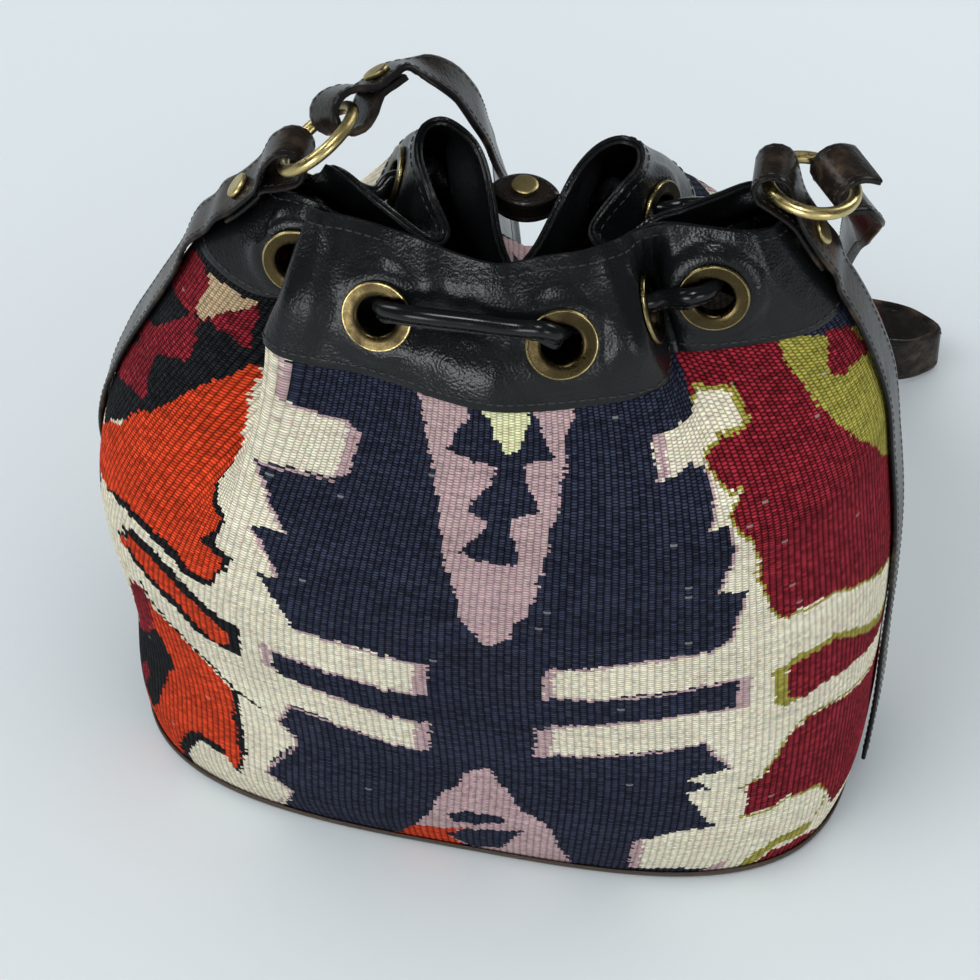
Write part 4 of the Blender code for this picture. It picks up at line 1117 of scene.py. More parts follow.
def panel_faces(n, m, picks):
    """Faces of a panel of n columns: m woven rows outside, picked rows inside, closed at all four edges."""
    start = m * n
    faces = [(a, a + 1, a + n + 1, a + n) for i in range(m - 1) for a in range(i * n, (i + 1) * n - 1)]
    faces += [(a + n, a + n + 1, a + 1, a) for i in range(len(picks) - 1)
              for a in range(start + i * n, start + (i + 1) * n - 1)]
    top_in, top_out = start + (len(picks) - 1) * n, (m - 1) * n
    for j in range(n - 1):
        faces.append((j + 1, j, start + j, start + j + 1))
        faces.append((top_out + j, top_out + j + 1, top_in + j + 1, top_in + j))
    for column in (0, n - 1):
        for k, (low, high) in enumerate(zip(picks, picks[1:])):
            outside = [row * n + column for row in range(low, high + 1)]
            loop = outside + [start + (k + 1) * n + column, start + k * n + column]
            faces.append(tuple(loop if column else loop[::-1]))
    return faces


def woven_panel(name, back, chart, seed):
    """A half of the woven body: ribs over every warp, one row of faces for each weft."""
    warps, wefts = sizes().warps, sizes().wefts
    share = np.linspace(0.5 * back + SEAM_TRIM, 0.5 + 0.5 * back - SEAM_TRIM, 2 * warps + 1)
    q = np.interp(share, *lines_by_share())
    count = np.linspace(0, warps, 2 * warps + 1)
    levels = np.concatenate((np.linspace(BASE_LIFT / BODY_HEIGHT, 1, wefts + 1),
                             1 + TUCK * np.linspace(0, 1, TUCK_ROWS + 1)[1:]))
    rib = sizes().rib / MM
    lift = np.where(np.arange(2 * warps + 1) % 2 == 1, 0.5 * rib, -0.5 * rib)
    outer = [skin(q, g, lift if g <= 1 else np.minimum(lift, 0.0)) for g in levels]
    picks = np.linspace(0, len(levels) - 1, 24).round().astype(int)
    inner = [skin(q, levels[k], np.full(len(q), -CLOTH)) for k in picks]
    n, m = len(q), len(levels)
    faces = panel_faces(n, m, picks)
    obj = object_from(name, np.concatenate(outer + inner), faces, material("flat_woven_wool"))

    tint = np.ones((len(faces), 4))
    tint[:, :3] = np.array(colours().navy)
    first = 0
    for rise in (np.arange(m - 1) + 0.5, (picks[:-1] + picks[1:]) / 2):
        row, column = np.divmod(np.arange(len(rise) * (n - 1)), n - 1)
        warp = (count[column] + count[column + 1]) / 2
        dyed = yarn_colours(chart, warps - warp if back else warp, rise[row], seed)
        tint[first:first + len(dyed), :3] = dyed
        first += len(dyed)
    layer = obj.data.color_attributes.new("yarn", "FLOAT_COLOR", "CORNER")
    layer.data.foreach_set("color", np.repeat(tint, [len(f) for f in faces], axis=0).ravel())

    across = np.tile(count, m + len(picks))
    rise = np.repeat(np.concatenate((np.arange(m), picks)).astype(float), n)
    corner = np.zeros(len(obj.data.loops), int)
    obj.data.loops.foreach_get("vertex_index", corner)
    uv = obj.data.uv_layers.new(name="thread")
    uv.data.foreach_set("uv", np.column_stack((across[corner], rise[corner])).ravel())
    return obj


class BAG_OT_woven_body(bpy.types.Operator):
    """Weave the two halves of the body from the pattern, the back as the front's mirror image."""
    bl_idname = "kilim_bag.woven_body"
    bl_label = "Woven Body"

    def execute(self, context):
        cloth = FrontCloth()
        chart = [(yarn, width, cloth.outline(pixels)) for yarn, width, pixels in PATTERN]
        settle(woven_panel("woven_front", False, chart, 11), "bag", "wool", "kilim_front")
        settle(woven_panel("woven_back", True, chart, 23), "bag", "wool", "kilim_back")
        return {"FINISHED"}


# Leather base and collar

class BAG_OT_base(bpy.types.Operator):
    """Shape the leather base with its turned-up rim."""
    bl_idname = "kilim_bag.base"
    bl_label = "Leather Base"

    def execute(self, context):
        q = np.linspace(0, ROWS, 6 * ROWS + 1)[:-1]

        def at(height, offset):
            points = skin(q, max(height, 0.0) / BODY_HEIGHT, np.full(len(q), offset))
            points[:, 2] = height
            return points

        out = BASE_WALL + CLEAR
        rim = BASE_RIM - BASE_RIM_DROP
        rings = [at(height, offset) for height, offset in (
            (0.0, out - 9.0), (0.0, out - 1.9), (0.25, out - 1.1), (0.9, out - 0.6), (2.0, out - 0.4),
            (rim - 0.9, out - 0.5), (rim - 0.3, out - 0.7), (rim, out - 1.1), (rim - 0.15, CLEAR + 0.15),
            (rim - 0.5, CLEAR), (BASE_PLATE + 0.6, CLEAR), (BASE_PLATE, CLEAR - 0.6),
            (BASE_PLATE, CLEAR - 9.0))]
        verts, faces = ring_mesh(rings, False, True)
        base = object_from("base_leather", verts, faces, material("base_hide"))
        outward(base)
        soften(base, 50)
        settle(base, "bag", "brown_leather", "base_panel")
        return {"FINISHED"}


def collar_ply(name, outer, inner, levels, mat):
    """A leather ply with a rounded top edge, open round the bag's mouth."""
    q = np.linspace(0, ROWS, 9 * ROWS + 1)[:-1]
    rings = [skin(q, g, d + crease(q, g)) for g, d in zip(levels, outer)]
    thick = outer[-1] - inner[-1]
    crown = rings[-1] + normals_at(q, 2.0) * (-0.5 * thick) + np.array((0, 0, 0.35))
    back = [skin(q, g, d + crease(q, g)) for g, d in zip(levels, inner)][::-1]
    rings = rings + [crown] + back
    verts, faces = ring_mesh(rings, True, False)
    ply = object_from(name, verts, faces, material(mat))
    outward(ply)
    return ply


class BAG_OT_collar(bpy.types.Operator):
    """Gather the two leather plies of the collar, punch the eyelet holes and sew both edges."""
    bl_idname = "kilim_bag.collar"
    bl_label = "Collar"

    def execute(self, context):
        rise = np.concatenate(((0.0, 0.03), np.linspace(0.06, 0.96, 26), (0.985, 1.0)))
        levels = 1 + rise
        outer = [CLEAR + PLY - 0.55 * math.exp(-t / 0.02) for t in rise]
        collar = collar_ply("collar_leather", outer, [CLEAR] * len(rise), levels, "grained_black_hide")
        under = -CLOTH - CLEAR
        tuck = np.clip((rise - TUCK) / 0.10, 0, 1)
        tuck = tuck * tuck * (3 - 2 * tuck)
        lining = collar_ply("collar_lining_leather", list(under * (1 - tuck)),
                            list((under - PLY) * (1 - tuck) - PLY * tuck), levels, "lining_hide")
        clear_selection()
        bpy.ops.mesh.primitive_cylinder_add(vertices=40, radius=PUNCH_R * MM, depth=2 * PUNCH_REACH * MM)
        punch = bpy.context.object
        tools = []
        for name, (_, (centre, along, _, normal)) in EYELETS.items():
            tools.append(place(copy_of(punch, name + "_punch"), centre, normal, along))
        bpy.data.objects.remove(punch)
        clear_selection()
        for tool in tools:
            tool.select_set(True)
        bpy.context.view_layer.objects.active = tools[0]
        bpy.ops.object.join()
        for ply in (collar, lining):
            modifier = ply.modifiers.new("eyelet_holes", "BOOLEAN")
            modifier.operation = "DIFFERENCE"
            modifier.solver = "EXACT"
            modifier.object = tools[0]
            finish_modifiers(ply)
            soften(ply, 48)
            if len(ply.data.polygons) < 10000:
                raise RuntimeError(f"{ply.name} lost its faces at the eyelet holes")
        bpy.data.objects.remove(tools[0])
        settle(collar, "bag", "black_leather", "collar")
        settle(lining, "bag", "lining_leather", "collar_lining")
        loop = np.linspace(0, ROWS, 12 * ROWS + 1)
        for label, t in (("top", 0.915), ("seam", 0.055)):
            line = skin(loop, 1 + t, CLEAR + PLY + 0.02 + crease(loop, 1 + t))
            stitches("collar_stitches_" + label, line, normals_at(loop, 1 + t), "bag",
                     material("black_thread"), "black_leather")
        return {"FINISHED"}


class BAG_OT_eyelets(bpy.types.Operator):
    """Turn one brass eyelet with a rolled lip and set a copy in each hole."""
    bl_idname = "kilim_bag.eyelets"
    bl_label = "Eyelets"

    def execute(self, context):
        top = CLEAR + PLY + CLEAR
        low = -PLY - CLEAR
        profile = ((7.02, top - 0.6), (7.02, top + 0.2), (7.2, top + 0.62), (7.6, top + 0.98),
                   (8.2, top + 1.22), (9.4, top + 1.36), (11.0, top + 1.40), (11.75, top + 1.46),
                   (12.1, top + 1.42), (12.38, top + 1.15), (12.5, top + 0.7), (12.45, top + 0.2),
                   (12.25, top), (BARREL_R, top), (BARREL_R, low), (10.6, low), (10.8, low - 0.3),
                   (10.5, low - 0.65), (7.6, low - 0.72), (7.15, low - 0.5), (7.05, low))
        master = turned("eyelet", profile, 56, material("eyelet_brass"), "bridge")
        master.data.materials.append(material("lip_brass"))
        for face in master.data.polygons:
            reach, height = face.center.xy.length / MM, face.center.z / MM
            if height > top + 0.2 and (reach > 11.9 or reach < 7.35):
                face.material_index = 1
        for name, (_, (centre, along, _, normal)) in EYELETS.items():
            settle(place(copy_of(master, "brass_" + name), centre, normal, along), "bag", "brass", name)
        bpy.data.objects.remove(master)
        return {"FINISHED"}


# Drawstring and slider

def through(name, before, after, outward_run):
    """Cord points through one eyelet: outward runs inside to outside."""
    centre, _, _, normal = EYELETS[name][1]
    way = normal if outward_run else -normal
    entry = np.asarray(before, float) - centre
    entry = unit(entry - np.dot(entry, normal) * normal)
    leave = np.asarray(after, float) - centre
    leave = unit(leave - np.dot(leave, normal) * normal)
    up = EYELETS[name][1][2] * HOLE_LIFT
    return [centre - way * 6.4 + entry * 7.0 + up, centre - way * 3.4 + entry * 1.6 + up, centre + up,
            centre + way * 3.4 + leave * 1.6 + up, centre + way * 6.4 + leave * 7.5 + up]


def cord_route():
    """Drawstring points: from the slider in and out of the eyelets and back to it."""
    spot = {name: value[1][0] for name, value in EYELETS.items()}
    inside_fold = [(-36, -51.5, 255), (-26.5, -41, 252), (-31, -29, 249.5), (-42, -25.8, 249)]
    outside_fold = [(-57.5, -42.3, 249.5), (-66, -43.8, 250)]
    order = (("eyelet_09", False), ("eyelet_08", True), ("eyelet_07", False), ("eyelet_06", True),
             ("eyelet_05", False), ("eyelet_04", True), ("eyelet_03", False), ("eyelet_02", True),
             ("eyelet_01", False), ("eyelet_12", True), ("eyelet_11", False), ("eyelet_10", True))
    between = {("eyelet_03", "eyelet_02"): inside_fold, ("eyelet_02", "eyelet_01"): outside_fold,
               ("eyelet_04", "eyelet_03"): [(3, -66.6, 264.0), (-14, -67.2, 264.8)]}
    centre = np.array(SLIDER)
    route = [centre + (3.5, 0, 0), centre + (8.0, 0, 0), centre + (12.5, 0, 0)]
    for i, (name, outward_run) in enumerate(order):
        before_pts = between.get((order[i - 1][0], name)) if i else None
        after_pts = between.get((name, order[i + 1][0])) if i + 1 < len(order) else None
        before = before_pts[-1] if before_pts else (spot[order[i - 1][0]] if i else centre)
        after = after_pts[0] if after_pts else (spot[order[i + 1][0]] if i + 1 < len(order) else centre)
        if before_pts:
            route += [np.array(p, float) for p in before_pts]
        hole = through(name, before, after, outward_run)
        route += hole[1:] if i == 0 else hole[:-1] if i + 1 == len(order) else hole
    route += [centre - (12.5, 0, 0), centre - (8.0, 0, 0), centre - (3.5, 0, 0)]
    return np.array(route)


class BAG_OT_drawstring(bpy.types.Operator):
    """Sweep the piped leather cord with its stitched flange through the eyelets."""
    bl_idname = "kilim_bag.drawstring"
    bl_label = "Drawstring"

    def execute(self, context):
        route = cord_route()
        run = np.concatenate(((0.0,), np.cumsum(np.linalg.norm(np.diff(route, axis=0), axis=1))))
        at = np.linspace(0, run[-1], round(run[-1] / CORD_STEP))
        points = smooth(run, route, at)
        ahead, behind = np.minimum(at + 1.0, run[-1]), np.maximum(at - 1.0, 0)
        heading = smooth(run, route, ahead) - smooth(run, route, behind)
        heading /= np.linalg.norm(heading, axis=1)[:, None]
        side = np.cross(heading, (0.0, 0.0, 1.0))
        side /= np.linalg.norm(side, axis=1)[:, None]
        down = np.cross(heading, side)
        down *= np.where(down[:, 2] > 0, -1.0, 1.0)[:, None]
        ends = np.clip(np.minimum(at - CORD_PLAIN_END, run[-1] - CORD_PLAIN_END - at) / 6.0, 0.0, 1.0)
        core = CORD_R - 0.1
        section = []
        for a in np.linspace(math.radians(-55), math.radians(235), 15):
            section.append((core * math.cos(a), -core * math.sin(a), 0.0))
        section += [(-0.95, core * 0.86, 0.25), (-0.85, core, 1.5), (-0.55, core, 2.5),
                    (0.55, core, 2.5), (0.85, core, 1.5), (0.95, core * 0.86, 0.25)]
        rings = [np.array([p + s * x + d * (y + f * e) for x, y, f in section])
                 for p, s, d, e in zip(points, side, down, ends)]
        verts, faces = ring_mesh(rings, False, True)
        cord = object_from("drawstring_leather", verts, faces, material("cord_hide"))
        outward(cord)
        soften(cord, 60)
        settle(cord, "bag", "cord_leather", "drawstring")
        keep = slice(12, -12)
        for label, way in (("out", 1.0), ("in", -1.0)):
            line = points[keep] + down[keep] * (core + 1.2) + side[keep] * way * 0.85
            stitches("cord_stitches_" + label, line, side[keep] * way, "bag", material("black_thread"),
                     "cord_leather", length=2.0, radius=0.25, every=3.0)
        return {"FINISHED"}


class BAG_OT_slider(bpy.types.Operator):
    """Form the eye-shaped leather tab that grips the cord ends, with its rivet."""
    bl_idname = "kilim_bag.slider"
    bl_label = "Cord Slider"

    def execute(self, context):
        long, wide = SLIDER_HALF
        half = SLIDER_THICK / 2

        def eye(angles, size, z):
            """Points of the eye-shaped outline at one size and height."""
            return np.array([(long * size * math.cos(a),
                              wide * size * math.sin(a) * abs(math.sin(a)) ** 0.5, z) for a in angles])

        turns = [2 * math.pi * k / 64 for k in range(64)]
        rings = []
        for z, grow in ((-half, 0.80), (-half + 0.25, 0.92), (-half + 0.9, 1.0), (-half + 2.0, 1.01),
                        (-half + 2.5, 0.955), (half - 2.5, 0.955), (half - 2.0, 1.01), (half - 0.9, 1.0),
                        (half - 0.25, 0.92), (half, 0.80)):
            rings.append(eye(turns, grow, z))
        verts, faces = ring_mesh(rings, False, True)
        tab = object_from("slider_leather", verts, faces, material("slider_hide"))
        outward(tab)
        place(tab, SLIDER, (0, 0, 1), (1, 0, 0))
        clear_selection()
        bpy.ops.mesh.primitive_cylinder_add(vertices=40, radius=(CORD_R + 0.5) * MM, depth=60 * MM)
        tunnel = place(bpy.context.object, SLIDER, (1, 0, 0))
        modifier = tab.modifiers.new("tunnel", "BOOLEAN")
        modifier.operation = "DIFFERENCE"
        modifier.solver = "EXACT"
        modifier.object = tunnel
        finish_modifiers(tab)
        bpy.data.objects.remove(tunnel)
        soften(tab, 40)
        settle(tab, "bag", "slider_leather", "cord_slider")
        line = eye(np.linspace(0, 2 * math.pi, 90), 0.80, half + 0.02) + SLIDER
        stitches("slider_stitches", line, np.tile((0.0, 0.0, 1.0), (len(line), 1)), "bag",
                 material("black_thread"), "slider_leather", length=1.7, radius=0.25, every=2.6)
        return {"FINISHED"}


# Straps, rings and rivets

def arc(centre, start, lift, radius, first, last, count):
    """Points on a circle whose zero is towards start and quarter turn towards lift."""
    centre, start, lift = (np.asarray(v, float) for v in (centre, start, lift))
    angles = np.radians(np.linspace(first, last, count))
    return [centre + radius * (math.cos(a) * start + math.sin(a) * lift) for a in angles]


def strap_frames(path, widths, spacing):
    """Even stations along a strap: points, across directions, face directions and run."""
    path, widths = np.array(path, float), np.array(widths, float)
    run = np.concatenate(((0.0,), np.cumsum(np.linalg.norm(np.diff(path, axis=0), axis=1))))
    at = np.unique(np.concatenate([np.linspace(a, b, max(2, 1 + round((b - a) / spacing)))
                                   for a, b in zip(run, run[1:])]))
    points, across = smooth(run, path, at), smooth(run, widths, at)
    heading = smooth(run, path, np.minimum(at + 0.3, run[-1])) - smooth(run, path, np.maximum(at - 0.3, 0))
    heading /= np.linalg.norm(heading, axis=1)[:, None]
    across -= np.sum(across * heading, axis=1)[:, None] * heading
    across /= np.linalg.norm(across, axis=1)[:, None]
    return points, across, np.cross(heading, across), at


def strap(name, path, widths, thick, plies, nodes):
    """A strap with rounded edges, a groove between its plies and a stitch row along both edges."""
    points, across, face, at = strap_frames(path, widths, 2.6)
    w, t = STRAP_WIDTH / 2, thick / 2
    groove = 0.35 if plies == 2 else 0.0
    side = [(w - 3.2, t), (w - 1.6, t * 0.96), (w - 0.55, t * 0.86), (w - 0.08, t * 0.45),
            (w - groove, 0.0), (w - 0.08, -t * 0.45), (w - 0.55, -t * 0.86), (w - 1.6, -t * 0.96),
            (w - 3.2, -t)]
    section = [(0.0, t)] + side + [(0.0, -t)] + [(-x, y) for x, y in side[::-1]]
    rng = np.random.default_rng(len(name))
    stations = np.arange(0, at[-1] + 9, 9.0)
    wave = np.interp(at, stations, rng.normal(0, 0.16, len(stations)))
    rings = [np.array([p + a * x * (1 + 0.006 * s) + n * y for x, y in section])
             for p, a, n, s in zip(points, across, face, wave)]
    verts, faces = ring_mesh(rings, False, True)
    obj = object_from(name, verts, faces, material("strap_hide"))
    tint = np.tile(np.array(colours().strap), (len(section), 1))
    for k, (x, y) in enumerate(section):
        edge = np.clip((abs(x) - (w - 2.0)) / 1.0, 0, 1)
        tint[k] = tint[k] * (1 - edge) + np.array((0.011, 0.010, 0.010)) * edge
    layer = obj.data.color_attributes.new("tint", "FLOAT_COLOR", "POINT")
    full = np.ones((len(rings) * len(section), 4))
    full[:, :3] = np.tile(tint, (len(rings), 1))
    layer.data.foreach_set("color", full.ravel())
    outward(obj)
    soften(obj, 55)
    settle(obj, "bag", "strap_leather", *nodes)
    for label, way in (("face", 1.0), ("back", -1.0)):
        for edge, sign in (("a", 1.0), ("b", -1.0)):
            line = points + across * sign * (w - 2.6) + face * way * (t - 0.02)
            stitches(f"{name}_stitches_{label}_{edge}", line[1:-1], face[1:-1] * way, "bag",
                     material("brown_thread"), "strap_leather", length=2.3, radius=0.26)
    return obj


def rivet(name, centre, axis, grip, node):
    """A domed rivet through a grip, with its set tail."""
    half = grip / 2 + CLEAR
    profile = ((0.7, half + 1.95), (3.3, half + 1.90), (4.1, half + 1.80), (4.6, half + 1.50),
               (4.8, half + 1.05), (4.8, half + 0.35), (4.6, half + 0.05), (4.4, half), (2.0, half),
               (2.0, -half), (4.0, -half), (3.9, -half - 0.35), (3.4, -half - RIVET_TAIL + 0.05),
               (1.0, -half - RIVET_TAIL))
    cap = turned("brass_" + name, profile, 40, material("rivet_brass"), "cap")
    return settle(place(cap, centre, axis), "bag", "brass", node)


def side_strap_path(row, ring_centre, ring_axis, towards, leave, hook):
    """Centre line of a side strap up the bag and through its ring, with the rivet's place."""
    axis = unit(ring_axis)
    out = unit(np.asarray(towards, float) - np.dot(towards, axis) * axis)
    loop = np.array(ring_centre) + out * LOOP_REACH
    across = np.cross(axis, out)
    radius = LOOP_BORE + SIDE_THICK / 2
    start = unit(np.asarray(leave, float) - np.dot(leave, across) * across)
    lift = np.cross(across, start)
    lift = lift if np.dot(lift, (hook, 0, 0)) > 0 else -lift
    q = float(row)
    cloth = 2.5 * CLEAR + SIDE_THICK / 2
    collar = PLY + 2 * CLEAR + SIDE_THICK / 2
    single = collar + RIVET_TAIL + 2 * CLEAR
    double = single + SIDE_THICK + FOLD_GAP
    spot = lambda g, d: skin(np.array([q]), g, d)[0]
    up = [spot(g, d) for g, d in (
        (0.045, BASE_WALL + cloth + 0.6), (0.1, cloth + 0.7), (0.18, cloth + 0.6), (0.28, cloth + 0.3),
        (0.4, cloth), (0.55, cloth), (0.7, cloth), (0.82, cloth), (0.92, cloth + 0.4), (1.0, collar),
        (1.15, collar + 1.0), *((g, double) for g in (1.32, 1.5, 1.62, 1.74, 1.88)))]
    down = [spot(g, single) for g in (1.98, 1.88, 1.74, 1.62, 1.5, 1.42)]
    wrap = arc(loop, start, lift, radius, 0, 218 if hook > 0 else 245, 11)
    side = -hook
    lay = [side * frame_at(q, g)[1] for g in (
        0.045, 0.1, 0.18, 0.28, 0.4, 0.55, 0.7, 0.82, 0.92, 1.0, 1.15, 1.32, 1.5, 1.6, 1.6, 1.6)]
    sign = 1.0 if across[1] > 0 else -1.0
    widths = lay + [sign * across] * len(wrap) + lay[-1:] * len(down)
    centre, _, _, normal = frame_at(q, 1.62, surface)
    return up + wrap + down, widths, centre + normal * (single + double) / 2, normal


def shoulder_path():
    """Centre line and across directions of the shoulder strap from ring to ring."""
    radius = LOOP_BORE + SHOULDER_THICK / 2
    gap = SHOULDER_THICK + CLEAR
    n = unit(LEFT_RING_AXIS)
    out = unit(np.array((0.52, 0.783, 0.306)) - np.dot((0.52, 0.783, 0.306), n) * n)
    loop = np.array(LEFT_RING) + LOOP_REACH * out
    across = np.cross(n, out)
    away = unit(out - 0.2 * n)
    lift = np.cross(away, across)
    tip = [loop + away * s + lift * h
           for s, h in ((23, 2.0 - gap), (18, 2.0 - gap), (12, 2.0 - gap), (7, -4.4))]
    wrap = arc(loop, away, lift, radius, -90, -270, 9)
    lead = [loop + away * s + lift * h for s, h in ((7, 5.2), (12, 2.0), (18, 2.0), (25, 2.0))]
    left = tip + wrap + lead
    spot = loop + away * 18.0 + lift * (2.0 - gap / 2)
    n = unit(RIGHT_RING_AXIS)
    out = unit(np.array((0.82, 0.55, -0.18)) - np.dot((0.82, 0.55, -0.18), n) * n)
    loop = np.array(RIGHT_RING) + LOOP_REACH * out
    come = [loop + out * s - n * h for s, h in ((9.5, 10), (6, 7.4))]
    wrap = arc(loop, out, n, radius, -90, -270, 9)
    end = [loop + out * s + n * h for s, h in ((4, 6.2), (8, 4.6))]
    right = come + wrap + end
    path = left + [p for p, _ in SHOULDER_FREE] + right
    widths = [across] * len(left) + [w for _, w in SHOULDER_FREE] + [np.cross(n, out)] * len(right)
    return path, widths, spot, lift


class BAG_OT_side_straps(bpy.types.Operator):
    """Fold the side straps through their rings and rivet them."""
    bl_idname = "kilim_bag.side_straps"
    bl_label = "Side Straps"

    def execute(self, context):
        for side, row, centre, axis, towards, leave, hook in (
                ("left", LEFT, LEFT_RING, LEFT_RING_AXIS, (-0.73, -0.14, -0.66), (-0.8, 0, 0.6), 1),
                ("right", RIGHT, RIGHT_RING, RIGHT_RING_AXIS, (-1, 0, 0.13), (1, 0, 0.1), -1)):
            path, widths, middle, normal = side_strap_path(row, centre, axis, towards, leave, hook)
            strap("side_strap_leather_" + side, path, widths, SIDE_THICK, 1, ["side_strap_" + side])
            name = "side_strap_rivet_" + side
            rivet(name, middle, normal, 2 * SIDE_THICK + FOLD_GAP, name)
        return {"FINISHED"}


class BAG_OT_shoulder_strap(bpy.types.Operator):
    """Lay the shoulder strap from ring to ring behind the bag and rivet its left end."""
    bl_idname = "kilim_bag.shoulder_strap"
    bl_label = "Shoulder Strap"

    def execute(self, context):
        path, widths, spot, lift = shoulder_path()
        strap("shoulder_strap_leather", path, widths, SHOULDER_THICK, 2, ["shoulder_strap"])
        rivet("shoulder_strap_rivet", spot, lift, 2 * SHOULDER_THICK + CLEAR, "shoulder_strap_rivet")
        return {"FINISHED"}


class BAG_OT_rings(bpy.types.Operator):
    """Bend a brass wire ring and copy it to both strap ends, with the slider's rivet."""
    bl_idname = "kilim_bag.rings"
    bl_label = "Rings and Slider Rivet"

    def execute(self, context):
        clear_selection()
        bpy.ops.mesh.primitive_torus_add(major_radius=RING_R * MM, minor_radius=WIRE_R * MM,
                                         major_segments=96, minor_segments=24)
        master = bpy.context.object
        master.data.materials.append(material("ring_brass"))
        soften(master)
        for side, centre, axis in (("left", LEFT_RING, LEFT_RING_AXIS),
                                   ("right", RIGHT_RING, RIGHT_RING_AXIS)):
            ring = place(copy_of(master, "brass_ring_" + side), centre, axis)
            settle(ring, side + "_ring", "brass", "ring_" + side)
        bpy.data.objects.remove(master)
        rivet("slider_rivet", SLIDER, (0, 0, 1), SLIDER_THICK, "slider_rivet")
        return {"FINISHED"}


# Stage

def lay_floor():
    """A pale cloth under the bag."""
    clear_selection()
    bpy.ops.mesh.primitive_plane_add(size=8, location=(0, 0, 0))
    floor = bpy.context.object
    floor.name = "floor"
    m = Nodes("floor_cloth")
    # Painted shade of soft folds: broad noise makes the flat cloth's colour a few percent lighter and darker.
    fold_shading = m.noise(m.place(), 1.6, 2.0, 0.5)
    weave = m.noise(m.place((1, 3, 1)), 900.0, 2.0, 0.5)
    tint = colours().floor
    shade = m.mix(m.remap(fold_shading, 0.3, 0.7, 0.0, 1.0),
                  tuple(v * 0.97 for v in tint), tuple(v * 1.03 for v in tint))
    m.link(shade, m.bsdf.inputs["Base Color"])
    m.bsdf.inputs["Roughness"].default_value = 0.95
    m.bsdf.inputs["Specular IOR Level"].default_value = 0.1
    m.bump(weave, 0.1, 0.0003)
    floor.data.materials.append(m.mat)


def light_room(scene):
    """Even daylight on everything, and for gloss a dim room with bright panes."""
    world = bpy.data.worlds.new("soft_daylight")
    world.use_nodes = True
    tree = world.node_tree
    sky = tree.nodes["Background"]
    where = tree.nodes.new("ShaderNodeTexCoord")
    path = tree.nodes.new("ShaderNodeLightPath")

    def joined(operation, first, second):
        """A math node's result from sockets or plain numbers."""
        node = tree.nodes.new("ShaderNodeMath")
        node.operation = operation
        for value, socket in ((first, node.inputs[0]), (second, node.inputs[1])):
            if isinstance(value, float):
                socket.default_value = value
            else:
                tree.links.new(value, socket)
        return node.outputs[0]

    room = ROOM_GLOSS
    for way, near, far, strength in PANES:
        towards = tree.nodes.new("ShaderNodeVectorMath")
        towards.operation = "DOT_PRODUCT"
        towards.inputs[1].default_value = Vector(way).normalized()
        pane = tree.nodes.new("ShaderNodeMapRange")
        pane.interpolation_type = "SMOOTHSTEP"
        for k, value in enumerate((near, far, 0.0, strength), start=1):
            pane.inputs[k].default_value = value
        tree.links.new(where.outputs["Generated"], towards.inputs[0])
        tree.links.new(towards.outputs["Value"], pane.inputs[0])
        room = joined("ADD", pane.outputs[0], room)
    gloss = joined("MULTIPLY", path.outputs["Is Glossy Ray"], room)
    even = joined("MULTIPLY", joined("SUBTRACT", 1.0, path.outputs["Is Glossy Ray"]), DAYLIGHT)
    tree.links.new(joined("ADD", gloss, even), sky.inputs[1])
    sky.inputs[0].default_value = (0.96, 0.985, 1.0, 1)
    world.cycles.sampling_method = "NONE"
    scene.world = world
    for name, spot, angle, power in WINDOWS:
        lamp = bpy.data.lights.new(name, "SUN")
        lamp.angle, lamp.energy = math.radians(angle), power
        lamp.color = (1.0, 0.985, 0.96)
        light = bpy.data.objects.new(name, lamp)
        light.matrix_world = (-Vector(spot)).to_track_quat("-Z", "Y").to_matrix().to_4x4()
        light.visible_glossy = False
        scene.collection.objects.link(light)


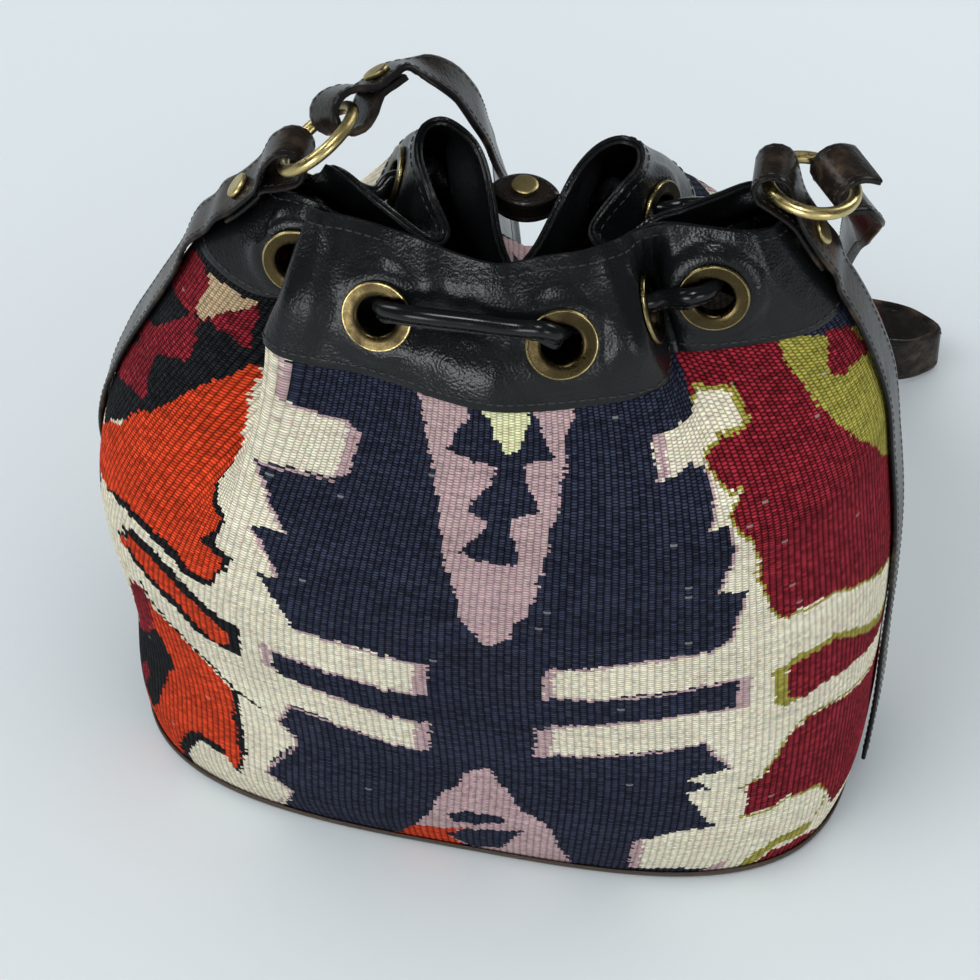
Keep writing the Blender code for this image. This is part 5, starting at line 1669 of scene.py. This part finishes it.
def set_camera(scene):
    """A camera at the photograph's viewing angle and distance."""
    place_at, right, up, back = camera_axes()
    lens = bpy.data.cameras.new("camera")
    camera = bpy.data.objects.new("camera", lens)
    scene.collection.objects.link(camera)
    camera.matrix_world = Matrix.Translation(place_at) @ Matrix((right, up, back)).transposed().to_4x4()
    lens.sensor_width = 36.0
    lens.lens = FOCAL_PX * lens.sensor_width / FRAME_PX
    lens.shift_x = 0.5 - OPTIC_PX[0] / FRAME_PX
    lens.shift_y = OPTIC_PX[1] / FRAME_PX - 0.5
    lens.clip_end = 20
    scene.camera = camera


class BAG_OT_stage(bpy.types.Operator):
    """Lay the pale floor cloth, light it softly and set the camera."""
    bl_idname = "kilim_bag.stage"
    bl_label = "Stage, Lights and Camera"

    def execute(self, context):
        scene = bpy.context.scene
        lay_floor()
        light_room(scene)
        set_camera(scene)
        scene.view_settings.view_transform = "Standard"
        return {"FINISHED"}


class BAG_PT_panel(bpy.types.Panel):
    """Lists the pieces of the bag and the sizes and colours they take."""
    bl_label = "Kilim Bag"
    bl_idname = "BAG_PT_panel"
    bl_space_type = "VIEW_3D"
    bl_region_type = "UI"
    bl_category = "Kilim Bag"

    def draw(self, context):
        for group in (context.scene.kilim_bag_sizes, context.scene.kilim_bag_colours):
            for key in group.bl_rna.properties.keys():
                if key not in ("rna_type", "name"):
                    self.layout.prop(group, key)
        for operator in STEPS:
            self.layout.operator(operator.bl_idname)


STEPS = (BAG_OT_stage, BAG_OT_woven_body, BAG_OT_base, BAG_OT_collar, BAG_OT_eyelets, BAG_OT_drawstring,
         BAG_OT_slider, BAG_OT_side_straps, BAG_OT_shoulder_strap, BAG_OT_rings)
CLASSES = (BagSizes, BagColours, *STEPS, BAG_PT_panel)


def register():
    for cls in CLASSES:
        bpy.utils.register_class(cls)
    bpy.types.Scene.kilim_bag_sizes = bpy.props.PointerProperty(type=BagSizes)
    bpy.types.Scene.kilim_bag_colours = bpy.props.PointerProperty(type=BagColours)


def unregister():
    del bpy.types.Scene.kilim_bag_sizes
    del bpy.types.Scene.kilim_bag_colours
    for cls in reversed(CLASSES):
        bpy.utils.unregister_class(cls)


def main():
    register()
    for operator in STEPS:
        group, name = operator.bl_idname.split(".")
        getattr(getattr(bpy.ops, group), name)()


if __name__ == "__main__":
    main()
